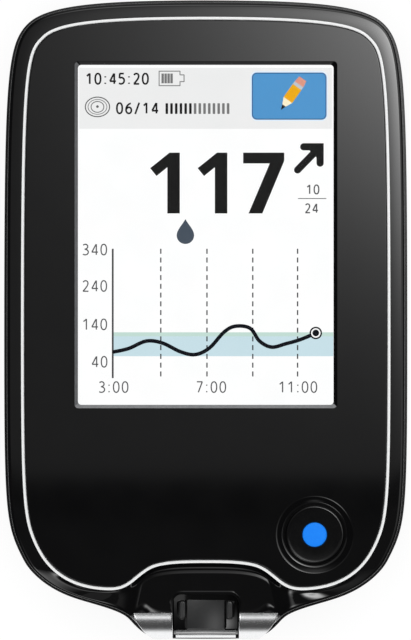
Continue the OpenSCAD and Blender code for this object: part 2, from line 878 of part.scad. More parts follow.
module vibration_motor() {
    color("silver")
        union() {
            motor_barrel(motor_r, motor_x0, motor_x1);
            motor_barrel(0.9, motor_x1 - 0.1, motor_x1 + 0.4);
            motor_barrel(shaft_r, motor_x1, motor_x1 + shaft_l);
        }
}

module motor_weight() {
    x0 = motor_x1 + 0.8;
    color("#77797c")
        difference() {
            motor_barrel(motor_r - 0.1, x0, x0 + weight_l);
            box_at(x0 - eps, x0 + weight_l + eps, motor_y - motor_r, motor_y + motor_r,
                motor_z + 0.8, motor_z + 2 * motor_r);
            motor_barrel(shaft_r + 0.02, x0 - eps, x0 + weight_l + eps);
        }
}

module motor_boot() {
    color("#2a2a2a")
        difference() {
            box_at(motor_x - boot_l / 2, motor_x + boot_l / 2,
                motor_y - motor_r - boot_side, motor_y + motor_r + boot_side,
                floor_z, board_z);
            motor_barrel(motor_r, motor_x - boot_l, motor_x + boot_l);
        }
}

buzzer_x = 9;
buzzer_r = 4.5;
buzzer_h = 3.2;
buzzer_port_r = 0.8;
module buzzer() {
    foot_z = board_z - buzzer_h;
    color("#161719")
        difference() {
            disc(buzzer_x, motor_y, foot_z, buzzer_r, buzzer_h);
            disc(buzzer_x, motor_y, foot_z - eps, buzzer_port_r, eps + 1);
        }
}

drive_r = 0.45;
drive_depth = 0.6;
module case_screws() {
    color("silver")
        for (p = screw_places)
            difference() {
                union() {
                    disc(p[0], p[1], head_seat_z - head_h, head_r, head_h);
                    disc(p[0], p[1], head_seat_z - 0.1, screw_r, screw_l);
                }
                disc(p[0], p[1], head_seat_z - head_h - eps, drive_r, eps + drive_depth);
            }
}

board_head_r = 1.2;
board_head_h = 0.8;
module board_screws() {
    color("silver")
        for (p = peg_places) {
            disc(p[0], p[1], board_z - board_head_h, board_head_r, board_head_h);
            disc(p[0], p[1], board_z - 0.1, board_screw_r, board_screw_l);
        }
}

rear_cover();
front_shell();
white_inlay();
face_panel();
screen_gasket();
touch_glass();
touch_flex();
lcd_panel();
backlight_unit();
lcd_flex();
mid_frame();
main_board();
board_chips();
shield_can();
reader_coil();
coil_ferrite();
battery_cell();
battery_tape();
battery_lead();
usb_shell();
usb_tongue();
strip_connector();
strip_contacts();
port_insert();
port_trim();
port_lights();
home_button();
button_dot();
switch_body();
switch_plunger();
vibration_motor();
motor_weight();
motor_boot();
buzzer();
case_screws();
board_screws();
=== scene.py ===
"""Looks of a handheld blood glucose meter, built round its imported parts.

The meter lies on its back and the camera looks straight down on its face. Every shape
is worked out in millimetres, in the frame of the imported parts, and becomes metres when
its mesh is made.
"""

import logging
import math
from collections.abc import Sequence
from dataclasses import dataclass, field
from enum import Enum

import bmesh
import bpy
import numpy as np
from mathutils.geometry import delaunay_2d_cdt
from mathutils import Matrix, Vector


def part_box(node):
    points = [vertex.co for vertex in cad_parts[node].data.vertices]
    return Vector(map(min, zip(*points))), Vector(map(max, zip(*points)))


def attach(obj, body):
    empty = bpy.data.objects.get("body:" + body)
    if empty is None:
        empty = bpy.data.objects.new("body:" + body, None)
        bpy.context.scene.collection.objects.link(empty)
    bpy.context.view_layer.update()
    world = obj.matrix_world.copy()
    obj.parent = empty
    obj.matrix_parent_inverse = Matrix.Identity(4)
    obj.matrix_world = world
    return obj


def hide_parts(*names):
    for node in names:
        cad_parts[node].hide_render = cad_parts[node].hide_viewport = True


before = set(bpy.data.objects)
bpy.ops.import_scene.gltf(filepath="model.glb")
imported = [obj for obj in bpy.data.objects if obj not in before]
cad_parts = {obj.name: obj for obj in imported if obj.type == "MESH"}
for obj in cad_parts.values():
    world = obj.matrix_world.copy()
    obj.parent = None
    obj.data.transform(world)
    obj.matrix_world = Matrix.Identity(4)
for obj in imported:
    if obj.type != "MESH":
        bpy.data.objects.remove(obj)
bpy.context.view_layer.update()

LOG = logging.getLogger("meter")
MM = 0.001
Array = np.ndarray


# ---- curves ---------------------------------------------------------------------


@dataclass(frozen=True)
class Knot:
    """A point of a curve: its place, its heading in degrees and its two handles.

    The heading is the direction of travel, and steps is the count of the part's own
    points up to the next knot.
    """

    x: float
    y: float
    heading: float
    before: float = 0.0
    after: float = 0.0
    steps: int = 1


def curve(knots: Sequence[Knot], refine: int = 1, closed_end: bool = False) -> Array:
    """Points along the cubic Bezier curves that join the knots.

    Each span is (1-t)^3 p + 3(1-t)^2 t q + 3(1-t) t^2 r + t^3 s, where q and r stand on
    the handles of its two knots.

    Args:
        knots: the knots in order.
        refine: how many points stand for each of the part's own points.
        closed_end: whether the last knot is a point too.

    Returns:
        The points, one row each.
    """
    spans = []
    for a, b in zip(knots, knots[1:]):
        t = (np.arange(a.steps * refine) / (a.steps * refine))[:, None]
        p, s = np.array([a.x, a.y]), np.array([b.x, b.y])
        q = p + a.after * direction(a.heading)
        r = s - b.before * direction(b.heading)
        spans.append((1 - t) ** 3 * p + 3 * (1 - t) ** 2 * t * q
                     + 3 * (1 - t) * t**2 * r + t**3 * s)
    if closed_end:
        spans.append(np.array([[knots[-1].x, knots[-1].y]]))
    return np.concatenate(spans)


def direction(degrees: float) -> Array:
    """The unit vector that heads that way, counted from +X towards +Y."""
    a = math.radians(degrees)
    return np.array([math.cos(a), math.sin(a)])


def mirrored(half: Array) -> Array:
    """The whole ring of a half outline that runs down the right side."""
    left = half[-2:0:-1] * [-1, 1]
    return np.concatenate([half, left])


def inward(ring: Array) -> Array:
    """The unit vectors that point into the ring, one for each of its points.

    Each is square to the chord between its point's neighbours.

    Args:
        ring: the ring, clockwise.

    Returns:
        The vectors.
    """
    chord = np.roll(ring, -1, axis=0) - np.roll(ring, 1, axis=0)
    chord /= np.linalg.norm(chord, axis=1, keepdims=True)
    return np.stack([chord[:, 1], -chord[:, 0]], axis=1)


def inset(ring: Array, d: float | Array) -> Array:
    """The ring moved inwards by d, or by a distance for each point."""
    return ring + inward(ring) * np.reshape(d, (-1, 1))


def eased(ring: Array, reach: int) -> Array:
    """The ring with its bends eased.

    Each point is the mean of its neighbours, weighted by exp(-(steps away / reach)^2 / 2).

    Args:
        ring: the ring.
        reach: how many points the weights reach.

    Returns:
        The eased ring.
    """
    offsets = np.arange(-3 * reach, 3 * reach + 1)
    weights = np.exp(-0.5 * (offsets / reach) ** 2)
    weights /= weights.sum()
    return sum(w * np.roll(ring, o, axis=0) for o, w in zip(offsets, weights))


def smooth(t: Array) -> Array:
    """3 t^2 - 2 t^3 for t held between 0 and 1."""
    c = np.clip(t, 0, 1)
    return c * c * (3 - 2 * c)


def at_height(ring: Array, z: float | Array) -> Array:
    """The flat ring at height z, or with a height for each point."""
    return np.column_stack([ring, np.broadcast_to(z, len(ring))])


def rounded_rect(width: float, height: float, radius: float, x: float = 0.0,
                 y: float = 0.0, steps: int = 8) -> Array:
    """A rectangle with quarter circles for corners.

    Args:
        width: its size along X.
        height: its size along Y.
        radius: radius of its corners.
        x: its middle along X.
        y: its middle along Y.
        steps: facets of each corner.

    Returns:
        The ring, clockwise.
    """
    a = np.radians(np.linspace(0, 90, steps + 1))
    arc = radius * np.column_stack([np.cos(a), np.sin(a)])
    corner = np.array([width / 2 - radius, height / 2 - radius])
    quarters = [corner + arc, corner * [-1, 1] + arc[::-1] * [-1, 1],
                -corner - arc, corner * [1, -1] + arc[::-1] * [1, -1]]
    return (np.concatenate(quarters) + [x, y])[::-1]


def circle(radius: float, x: float = 0.0, y: float = 0.0, steps: int = 96) -> Array:
    """A circle about (x, y), clockwise as every ring here is."""
    a = -2 * np.pi * np.arange(steps) / steps
    return np.column_stack([x + radius * np.cos(a), y + radius * np.sin(a)])


def edge_rings(ring: Array, top: float, radius: float, steps: int = 6,
               outward: bool = False) -> list[Array]:
    """Rings of a rounded upper edge, from the wall up to a narrow flat beside it.

    The edge is a quarter circle: inset radius (1 - cos a), height top - radius (1 - sin a).
    One more ring follows on the flat, so that the rounding doesn't shade the flat face.

    Args:
        ring: the wall that the edge tops.
        top: height of the flat face.
        radius: radius of the edge.
        steps: facets of the quarter circle.
        outward: whether the flat face lies outside the ring, as round a hole.

    Returns:
        The rings from the lowest to the one on the flat.
    """
    side = -1 if outward else 1
    angles = np.radians(np.linspace(0, 90, steps + 1))
    rings = [at_height(inset(ring, side * radius * (1 - math.cos(a))),
                       top - radius * (1 - math.sin(a))) for a in angles]
    return rings + [at_height(inset(ring, side * radius * 1.25), top)]


# ---- meshes ---------------------------------------------------------------------


class Solid:
    """A closed mesh that is put together from grids of rings, fans and flat fills."""

    def __init__(self) -> None:
        """Starts with no points."""
        self.points: list[Array] = []
        self.faces: list[tuple[int, ...]] = []
        self.slots: list[int] = []
        self.count = 0

    def add(self, points: Array, faces: Array | list, slot: int | Array = 0) -> None:
        """Adds points and faces.

        Args:
            points: the points, one row each.
            faces: the faces, which index them.
            slot: the material slot, of all faces or of each.
        """
        self.points.append(np.asarray(points, float))
        rows = faces.tolist() if isinstance(faces, np.ndarray) else faces
        self.faces += [tuple(i + self.count for i in row) for row in rows]
        self.slots += np.broadcast_to(slot, len(rows)).tolist()
        self.count += len(points)

    def grid(self, rings: Sequence[Array], loop: bool = False,
             slot: int | Array = 0) -> "Solid":
        """Adds quads between rings of equal count.

        Args:
            rings: the rings, each with one row per point.
            loop: whether the last ring joins the first.
            slot: the material slot, of all faces, of each row or of each face.

        Returns:
            This solid.
        """
        table = np.stack(rings)
        m, n = table.shape[:2]
        rows, columns = np.arange(m if loop else m - 1)[:, None], np.arange(n)[None, :]
        after, beside = (rows + 1) % m, (columns + 1) % n
        quads = np.stack([rows * n + columns, rows * n + beside,
                          after * n + beside, after * n + columns], axis=-1)
        slots = np.broadcast_to(slot, quads.shape[:2]).ravel()
        self.add(table.reshape(-1, 3), quads.reshape(-1, 4), slots)
        return self

    def cap(self, ring: Array, slot: int = 0) -> "Solid":
        """Closes a flat ring with one face."""
        self.add(ring, [tuple(range(len(ring)))], slot)
        return self

    def fill(self, loops: Sequence[Array], z: float, slot: int = 0) -> "Solid":
        """Fills the flat space inside the first loop and outside the others.

        The triangles are the constrained Delaunay triangles of all the loops' points.

        Args:
            loops: flat loops, the outer one first.
            z: height of the fill.
            slot: the material slot of the faces.

        Returns:
            This solid.
        """
        points = np.concatenate(loops)
        edges, faces, start = [], [], 0
        for loop in loops:
            n = len(loop)
            ids = start + np.arange(n)
            edges += np.column_stack([ids, np.roll(ids, -1)]).tolist()
            after = np.roll(loop, -1, axis=0)
            area = np.sum(loop[:, 0] * after[:, 1] - after[:, 0] * loop[:, 1])
            faces.append((ids if area > 0 else ids[::-1]).tolist())
            start += n
        made = delaunay_2d_cdt([tuple(p) for p in points], edges, faces, 1, 1e-7)
        flat, triangles, inside = np.array([tuple(v) for v in made[0]]), made[2], made[5]
        outer_only = [t for t, owners in zip(triangles, inside) if list(owners) == [0]]
        self.add(at_height(flat, z), outer_only, slot)
        return self

    def build(self, name: str, finishes: Sequence["Finish"], sharp: float = 35.0,
              weld: float = 1e-4) -> bpy.types.Object:
        """Makes the object: welds the seams, turns the faces outwards and shades them.

        Args:
            name: name of the piece.
            finishes: the finish of each slot.
            sharp: edges that turn by more degrees than this stay sharp.
            weld: points nearer than this, in millimetres, become one.

        Returns:
            The object, in metres, at the origin.
        """
        thing = placed(name, np.concatenate(self.points), self.faces)
        dress(thing, *finishes)
        thing.data.polygons.foreach_set("material_index", self.slots)
        tidy_mesh(thing.data, weld, sharp)
        return thing


def placed(name: str, points: Array, faces: Sequence[tuple[int, ...]]) -> bpy.types.Object:
    """Puts a new object into the scene.

    Args:
        name: its name, and its mesh's.
        points: its points, in millimetres.
        faces: its faces, which index them.

    Returns:
        The object, in metres, at the origin.
    """
    mesh = bpy.data.meshes.new(name)
    mesh.from_pydata(points * MM, [], faces)
    thing = bpy.data.objects.new(name, mesh)
    bpy.context.scene.collection.objects.link(thing)
    return thing


def tidy_mesh(mesh: bpy.types.Mesh, weld: float, sharp: float) -> None:
    """Welds doubled points, turns faces outwards and shades smooth up to the sharp angle.

    Args:
        mesh: the mesh.
        weld: points nearer than this, in millimetres, become one.
        sharp: edges that turn by more degrees than this stay sharp.
    """
    work = bmesh.new()
    work.from_mesh(mesh)
    bmesh.ops.remove_doubles(work, verts=work.verts, dist=weld * MM)
    bmesh.ops.dissolve_degenerate(work, edges=work.edges, dist=weld * MM * 0.1)
    bmesh.ops.recalc_face_normals(work, faces=work.faces)
    work.to_mesh(mesh)
    work.free()
    mesh.shade_smooth()
    mesh.set_sharp_from_angle(angle=math.radians(sharp))


def cut(thing: bpy.types.Object, cutters: Sequence[bpy.types.Object],
        sharp: float = 35.0) -> bpy.types.Object:
    """Takes the cutters out of the thing, and deletes them.

    Args:
        thing: the object that is cut.
        cutters: the objects that are taken out of it.
        sharp: edges that turn by more degrees than this stay sharp.

    Returns:
        The thing.
    """
    for tool in cutters:
        step = thing.modifiers.new("cut", "BOOLEAN")
        step.operation = "DIFFERENCE"
        step.solver = "EXACT"
        step.object = tool
    seen = thing.evaluated_get(bpy.context.evaluated_depsgraph_get())
    mesh = bpy.data.meshes.new_from_object(seen)
    thing.modifiers.clear()
    old, thing.data = thing.data, mesh
    mesh.name = thing.name
    bpy.data.meshes.remove(old)
    for tool in cutters:
        bpy.data.objects.remove(tool)
    tidy_mesh(mesh, 1e-4, sharp)
    return thing


def tower(rings: Sequence[Array]) -> Solid:
    """A solid of stacked rings with its two ends closed."""
    return Solid().grid(rings).cap(rings[0]).cap(rings[-1])


def turned(profile: Sequence[tuple[float, float]], x: float, y: float,
           steps: int = 96) -> list[Array]:
    """The rings that the profile's (radius, height) points draw about (x, y)."""
    return [at_height(circle(r, x, y, steps), z) for r, z in profile]


def revolved(profile: Sequence[tuple[float, float]], x: float, y: float,
             steps: int = 96) -> Solid:
    """The closed solid of the rings that the profile draws about (x, y)."""
    return tower(turned(profile, x, y, steps))


# ---- finishes -------------------------------------------------------------------


@dataclass(frozen=True)
class Finish:
    """A surface finish, made of nodes.

    The colour wanders between color and fleck with a noise of the grain's size, the
    roughness wanders by rough_spread about roughness, and a fine bump lies over both. A
    lit finish has a black base, and its colour only glows.
    """

    name: str
    color: tuple[float, float, float]
    fleck: tuple[float, float, float] | None = None
    roughness: float = 0.4
    rough_spread: float = 0.05
    grain: float = 0.4
    bump: float = 0.0
    bump_grain: float = 0.1
    metallic: float = 0.0
    ior: float = 1.5
    coat: float = 0.0
    transmission: float = 0.0
    specular: float = 0.5
    glow: float = 0.0
    lit: bool = False

    def material(self) -> bpy.types.Material:
        """Makes the finish's material the first time it is asked for.

        Returns:
            The material.
        """
        known = bpy.data.materials.get(self.name)
        if known:
            return known
        made = bpy.data.materials.new(self.name)
        made.use_nodes = True
        tree = made.node_tree
        shader = tree.nodes["Principled BSDF"]
        for socket, value in (("Metallic", self.metallic), ("IOR", self.ior),
                              ("Coat Weight", self.coat),
                              ("Specular IOR Level", self.specular),
                              ("Transmission Weight", self.transmission)):
            shader.inputs[socket].default_value = value
        place = tree.nodes.new("ShaderNodeTexCoord").outputs["Object"]
        noise = self._noise(tree, place, self.grain)
        tone = self._ramp(tree, noise, self.color, self.fleck or self.color)
        if self.lit:
            shader.inputs["Base Color"].default_value = (0.004, 0.004, 0.004, 1)
        else:
            tree.links.new(tone, shader.inputs["Base Color"])
        span = tree.nodes.new("ShaderNodeMapRange")
        span.inputs["To Min"].default_value = max(self.roughness - self.rough_spread, 0.0)
        span.inputs["To Max"].default_value = self.roughness + self.rough_spread
        tree.links.new(noise, span.inputs["Value"])
        tree.links.new(span.outputs["Result"], shader.inputs["Roughness"])
        if self.bump:
            relief = tree.nodes.new("ShaderNodeBump")
            relief.inputs["Strength"].default_value = self.bump
            relief.inputs["Distance"].default_value = self.bump_grain * MM * 0.1
            tree.links.new(self._noise(tree, place, self.bump_grain), relief.inputs["Height"])
            tree.links.new(relief.outputs["Normal"], shader.inputs["Normal"])
        if self.glow:
            tree.links.new(tone, shader.inputs["Emission Color"])
            shader.inputs["Emission Strength"].default_value = self.glow
        return made

    @staticmethod
    def _noise(tree: bpy.types.NodeTree, place: bpy.types.NodeSocket,
               grain: float) -> bpy.types.NodeSocket:
        """A noise whose lumps are about grain millimetres across.

        Args:
            tree: the nodes that it joins.
            place: the places that it reads.
            grain: size of its lumps.

        Returns:
            The noise's socket.
        """
        noise = tree.nodes.new("ShaderNodeTexNoise")
        noise.inputs["Scale"].default_value = 1 / (grain * MM)
        noise.inputs["Detail"].default_value = 3.0
        tree.links.new(place, noise.inputs["Vector"])
        return noise.outputs["Fac"]

    @staticmethod
    def _ramp(tree: bpy.types.NodeTree, noise: bpy.types.NodeSocket,
              low: tuple[float, float, float],
              high: tuple[float, float, float]) -> bpy.types.NodeSocket:
        """A colour that runs from low to high with the noise.

        Args:
            tree: the nodes that it joins.
            noise: the noise.
            low: the colour where the noise is low.
            high: the colour where it is high.

        Returns:
            The colour's socket.
        """
        ramp = tree.nodes.new("ShaderNodeValToRGB")
        for stop, place, tone in zip(ramp.color_ramp.elements, (0.35, 0.65), (low, high)):
            stop.position = place
            stop.color = (*tone, 1)
        tree.links.new(noise, ramp.inputs["Fac"])
        return ramp.outputs["Color"]


def seen_as(red: int, green: int, blue: int) -> tuple[float, float, float]:
    """The linear colour that is seen as this 0 to 255 colour.

    A value under 0.04045 is divided by 12.92, and any other is ((v + 0.055) / 1.055)^2.4.

    Args:
        red: its red, from 0 to 255.
        green: its green.
        blue: its blue.

    Returns:
        The linear red, green and blue.
    """
    v = np.array([red, green, blue]) / 255
    lin = np.where(v <= 0.04045, v / 12.92, ((v + 0.055) / 1.055) ** 2.4)
    return tuple(float(x) for x in lin)


DISPLAY_GLOW = 1.01


def lit(name: str, red: int, green: int, blue: int) -> Finish:
    """A colour of the lit display, as it is seen through the touch glass."""
    tone = seen_as(red, green, blue)
    return Finish(name, tone, tuple(0.985 * c for c in tone), roughness=0.5, grain=6.0,
                  specular=0.0, glow=DISPLAY_GLOW, lit=True)


GLOSS_BLACK = Finish("gloss_black", (0.0016, 0.0016, 0.0018), (0.0022, 0.0022, 0.0024),
                     roughness=0.05, rough_spread=0.012, grain=3.0)
PANEL_BLACK = Finish("panel_black", (0.0014, 0.0014, 0.0016), (0.0019, 0.0019, 0.0021),
                     roughness=0.045, rough_spread=0.012, grain=5.0)
SATIN_BLACK = Finish("satin_black", (0.006, 0.006, 0.0065), (0.009, 0.009, 0.0095),
                     roughness=0.2, rough_spread=0.04, grain=0.5, specular=0.35, bump=0.2,
                     bump_grain=0.12)
INLAY_WHITE = Finish("inlay_white", (0.93, 0.94, 0.94), (0.96, 0.97, 0.97),
                     roughness=0.32, rough_spread=0.05, grain=0.6)
CAP_BLACK = Finish("cap_black", (0.0012, 0.0012, 0.0014), (0.0018, 0.0018, 0.002),
                   roughness=0.08, rough_spread=0.02, grain=1.5)
DOT_BLUE = Finish("dot_blue", seen_as(10, 130, 250), seen_as(16, 136, 252),
                  roughness=0.35, rough_spread=0.05, grain=0.5, specular=0.12)
SMOKED = Finish("smoked_plastic", (0.018, 0.0185, 0.019), (0.022, 0.0225, 0.023),
                roughness=0.3, rough_spread=0.04, grain=0.5, bump=0.2, bump_grain=0.1)
CHROME = Finish("bright_plate", (0.86, 0.87, 0.88), (0.9, 0.9, 0.91), roughness=0.22,
                rough_spread=0.03, grain=0.7, metallic=1.0)
# Painted highlights: the screen opening's lower bevel faces are coloured light grey and its left
# faces grey, as if lit from the upper right; its upper and right faces stay black.
BEVEL_PAINTED_HIGHLIGHT = Finish("bevel_painted_highlight", seen_as(132, 133, 135), seen_as(140, 141, 143),
                    roughness=0.35, grain=0.6)
BEVEL_PAINTED_HALF_LIGHT = Finish("bevel_painted_half_light", seen_as(98, 99, 101), seen_as(106, 107, 109),
                    roughness=0.35, grain=0.6)
RUBBER = Finish("black_rubber", (0.012, 0.012, 0.013), (0.018, 0.018, 0.019),
                roughness=0.75, grain=0.3, bump=0.4, bump_grain=0.15)
GLASS = Finish("clear_glass", (0.985, 0.995, 0.995), (1.0, 1.0, 1.0), roughness=0.0,
               rough_spread=0.0, grain=4.0, ior=1.1, transmission=1.0, specular=0.01)
FRAME_GREY = Finish("frame_grey", (0.045, 0.046, 0.05), (0.055, 0.056, 0.06),
                    roughness=0.55, grain=0.4, bump=0.3, bump_grain=0.2)
BOARD_GREEN = Finish("board_green", (0.015, 0.11, 0.05), (0.02, 0.15, 0.065),
                     roughness=0.35, grain=1.2, coat=0.3)
CHIP_BLACK = Finish("chip_black", (0.014, 0.014, 0.015), (0.02, 0.02, 0.021),
                    roughness=0.6, grain=0.2, bump=0.3, bump_grain=0.08)
FILM_AMBER = Finish("film_amber", (0.5, 0.25, 0.05), (0.6, 0.32, 0.08), roughness=0.3,
                    grain=0.8)
LIGHT_GUIDE = Finish("light_guide", (0.85, 0.86, 0.85), (0.9, 0.9, 0.9), roughness=0.5,
                     grain=1.0)
STEEL = Finish("plated_steel", (0.55, 0.55, 0.56), (0.64, 0.64, 0.65), roughness=0.28,
               rough_spread=0.08, grain=0.5, metallic=1.0)
COPPER = Finish("bare_copper", (0.7, 0.32, 0.16), (0.78, 0.4, 0.22), roughness=0.3,
                grain=0.5, metallic=1.0)
GOLD = Finish("gold_plate", (0.85, 0.6, 0.22), (0.92, 0.7, 0.32), roughness=0.22,
              grain=0.3, metallic=1.0)
FERRITE = Finish("ferrite_grey", (0.03, 0.03, 0.031), (0.04, 0.04, 0.042), roughness=0.7,
                 grain=0.4)
FOIL = Finish("foil_pouch", (0.55, 0.57, 0.59), (0.68, 0.7, 0.72), roughness=0.38,
              rough_spread=0.1, grain=1.5, metallic=0.8, bump=0.5, bump_grain=1.2)
TAPE = Finish("cream_tape", (0.75, 0.7, 0.56), (0.82, 0.78, 0.66), roughness=0.6, grain=0.5)
WIRE_RED = Finish("red_wire", (0.45, 0.02, 0.015), (0.55, 0.03, 0.02), roughness=0.45,
                  grain=0.3)
CONNECTOR = Finish("cream_connector", (0.7, 0.67, 0.58), (0.78, 0.75, 0.66),
                   roughness=0.5, grain=0.4)
LAMP = Finish("lamp_body", (0.85, 0.83, 0.72), (0.9, 0.88, 0.78), roughness=0.35, grain=0.3)
SINTERED = Finish("sintered_metal", (0.22, 0.22, 0.23), (0.3, 0.3, 0.31), roughness=0.45,
                  rough_spread=0.1, grain=0.15, metallic=1.0, bump=0.3, bump_grain=0.1)
SWITCH_WHITE = Finish("switch_white", (0.75, 0.75, 0.74), (0.82, 0.82, 0.81),
                      roughness=0.45, grain=0.3)

INNER_FINISHES: dict[str, Finish] = {
    "screen_gasket": RUBBER, "touch_glass": GLASS, "touch_flex": FILM_AMBER,
    "backlight_unit": LIGHT_GUIDE, "lcd_flex": FILM_AMBER, "mid_frame": FRAME_GREY,
    "main_board": BOARD_GREEN, "board_chips": CHIP_BLACK, "shield_can": STEEL,
    "reader_coil": COPPER, "coil_ferrite": FERRITE, "battery_cell": FOIL,
    "battery_tape": TAPE, "battery_lead": WIRE_RED, "usb_shell": STEEL,
    "usb_tongue": CHIP_BLACK, "strip_connector": CONNECTOR, "strip_contacts": GOLD,
    "port_lights": LAMP, "switch_body": STEEL, "switch_plunger": SWITCH_WHITE,
    "vibration_motor": STEEL, "motor_weight": SINTERED, "motor_boot": RUBBER,
    "buzzer": CHIP_BLACK, "case_screws": STEEL, "board_screws": STEEL,
}


def dress(thing: bpy.types.Object, *finishes: Finish) -> None:
    """Gives the object these finishes in place of any it has.

    Args:
        thing: the object.
        finishes: its finishes, one a slot.
    """
    thing.data.materials.clear()
    for finish in finishes:
        thing.data.materials.append(finish.material())


def report(piece: bpy.types.Object, body: str, slot: str, *nodes: str) -> bpy.types.Object:
    """Fixes a finished piece to its body and hides the nodes it stands for.

    Args:
        piece: the finished object.
        body: the body that carries it.
        slot: the record's material slot; not used.
        nodes: the nodes that it stands for.

    Returns:
        The piece.
    """
    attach(piece, body)
    if nodes:
        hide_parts(*nodes)
    LOG.info("%s rides on %s with %d faces", piece.name, body, len(piece.data.polygons))
    return piece


# ---- the outlines that the pieces share --------------------------------------------


def node_box(node: str) -> tuple[Array, Array]:
    """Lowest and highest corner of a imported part, in millimetres."""
    low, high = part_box(node)
    return np.array(low) / MM, np.array(high) / MM


@dataclass(frozen=True)
class Outlines:
    """The meter's silhouette, its face line and the edge of its flat back."""

    half_w: float
    half_l: float
    nose_half_w: float = 11.0
    nose_l: float = 11.35
    line_inset: float = 2.55
    corner_w: float = 0.4
    back_inset: float = 4.6
    shoulder_turn: float = -118.0
    line_reach: float = 4.1
    back_reach: float = 2.0
    refine: int = 6
    ease: int = 3

    @property
    def tip_y(self) -> float:
        """Where the nose ends."""
        return -self.half_l

    @property
    def side(self) -> list[Knot]:
        """Draws the right side.

        Returns:
            The knots from the top middle to the start of the shoulder.
        """
        w, l, tip = self.half_w, self.half_l, self.tip_y
        return [
            Knot(0, l, 0, 0, 16.5, 9),
            Knot(w - 3.45, l - 3.5, -45, 3.9, 4.5, 9),
            Knot(w, -4, -90, l - 7.5, l - 21.6, 6),
            Knot(w - 3, tip + 11.5, self.shoulder_turn, 6.1, 1.2, 6),
        ]

    @property
    def silhouette(self) -> Array:
        """Draws the widest outline: soft corners, hollow shoulders and a nose.

        Returns:
            The ring, clockwise from the top middle.
        """
        w, tip = self.nose_half_w, self.tip_y
        nose = [
            self.side[-1],
            Knot(w + 7.2, tip + 5.6, -165.5, 6, 6.2, 4),
            Knot(w, tip + 2.5, -130, 1.2, 1.6, 3),
            Knot(w - 3.3, tip + 0.12, -162, 1.3, 0.38, 3),
            Knot(0, tip, -180, 1),
        ]
        half = np.concatenate([curve(self.side, self.refine),
                               curve(nose, self.refine, closed_end=True)])
        return eased(mirrored(half), self.ease)

    def with_nose(self, ring: Array, reach: float, knots: Sequence[Knot]) -> Array:
        """The ring with the part round the nose drawn by its own knots.

        Args:
            ring: the ring, which starts at the top middle.
            reach: the handle of the ring's last point before the nose.
            knots: the knots round the nose, to the middle of its tip.

        Returns:
            The whole ring.
        """
        steps = sum(k.steps for k in self.side[:-1]) * self.refine
        start = Knot(*ring[steps], self.shoulder_turn, 0, reach, 6)
        half = np.concatenate([ring[:steps],
                               curve([start, *knots], self.refine, closed_end=True)])
        return eased(mirrored(half), self.ease)

    @property
    def face_line(self) -> Array:
        """Outer edge of the inlay: it dips low beside the nose, then climbs over it.

        In the top corners it stands further in, by corner_w (2 nx ny)^2 of the normal n.

        Returns:
            The ring, clockwise from the top middle.
        """
        ring, w, top = self.silhouette, self.nose_half_w, self.tip_y + self.nose_l
        n = inward(ring)
        extra = np.where(n[:, 1] < 0, (2 * n[:, 0] * n[:, 1]) ** 2, 0)
        return self.with_nose(inset(ring, self.line_inset + self.corner_w * extra),
                              self.line_reach, [
            Knot(w + 3, top - 4.1, 180, 5.4, 1.7, 3),
            Knot(w - 0.7, top - 2.45, 138, 1.2, 2.9, 4),
            Knot(w - 5.1, top - 0.25, 169, 1.6, 1.5, 3),
            Knot(0, top, 180, 0.9),
        ])

    @property
    def back_edge(self) -> Array:
        """Draws the edge of the flat back.

        Returns:
            The ring, clockwise from the top middle.
        """
        w, tip = self.nose_half_w, self.tip_y
        return self.with_nose(inset(self.silhouette, self.back_inset), self.back_reach, [
            Knot(w + 3.6, tip + 9.6, -172, 5, 2, 3),
            Knot(w - 3, tip + 7.2, -145, 1.8, 1.4, 4),
            Knot(w - 6, tip + self.back_inset + 0.1, -160, 1.6, 1, 3),
            Knot(0, tip + self.back_inset, -180, 1),
        ])


# ---- the case ------------------------------------------------------------------------


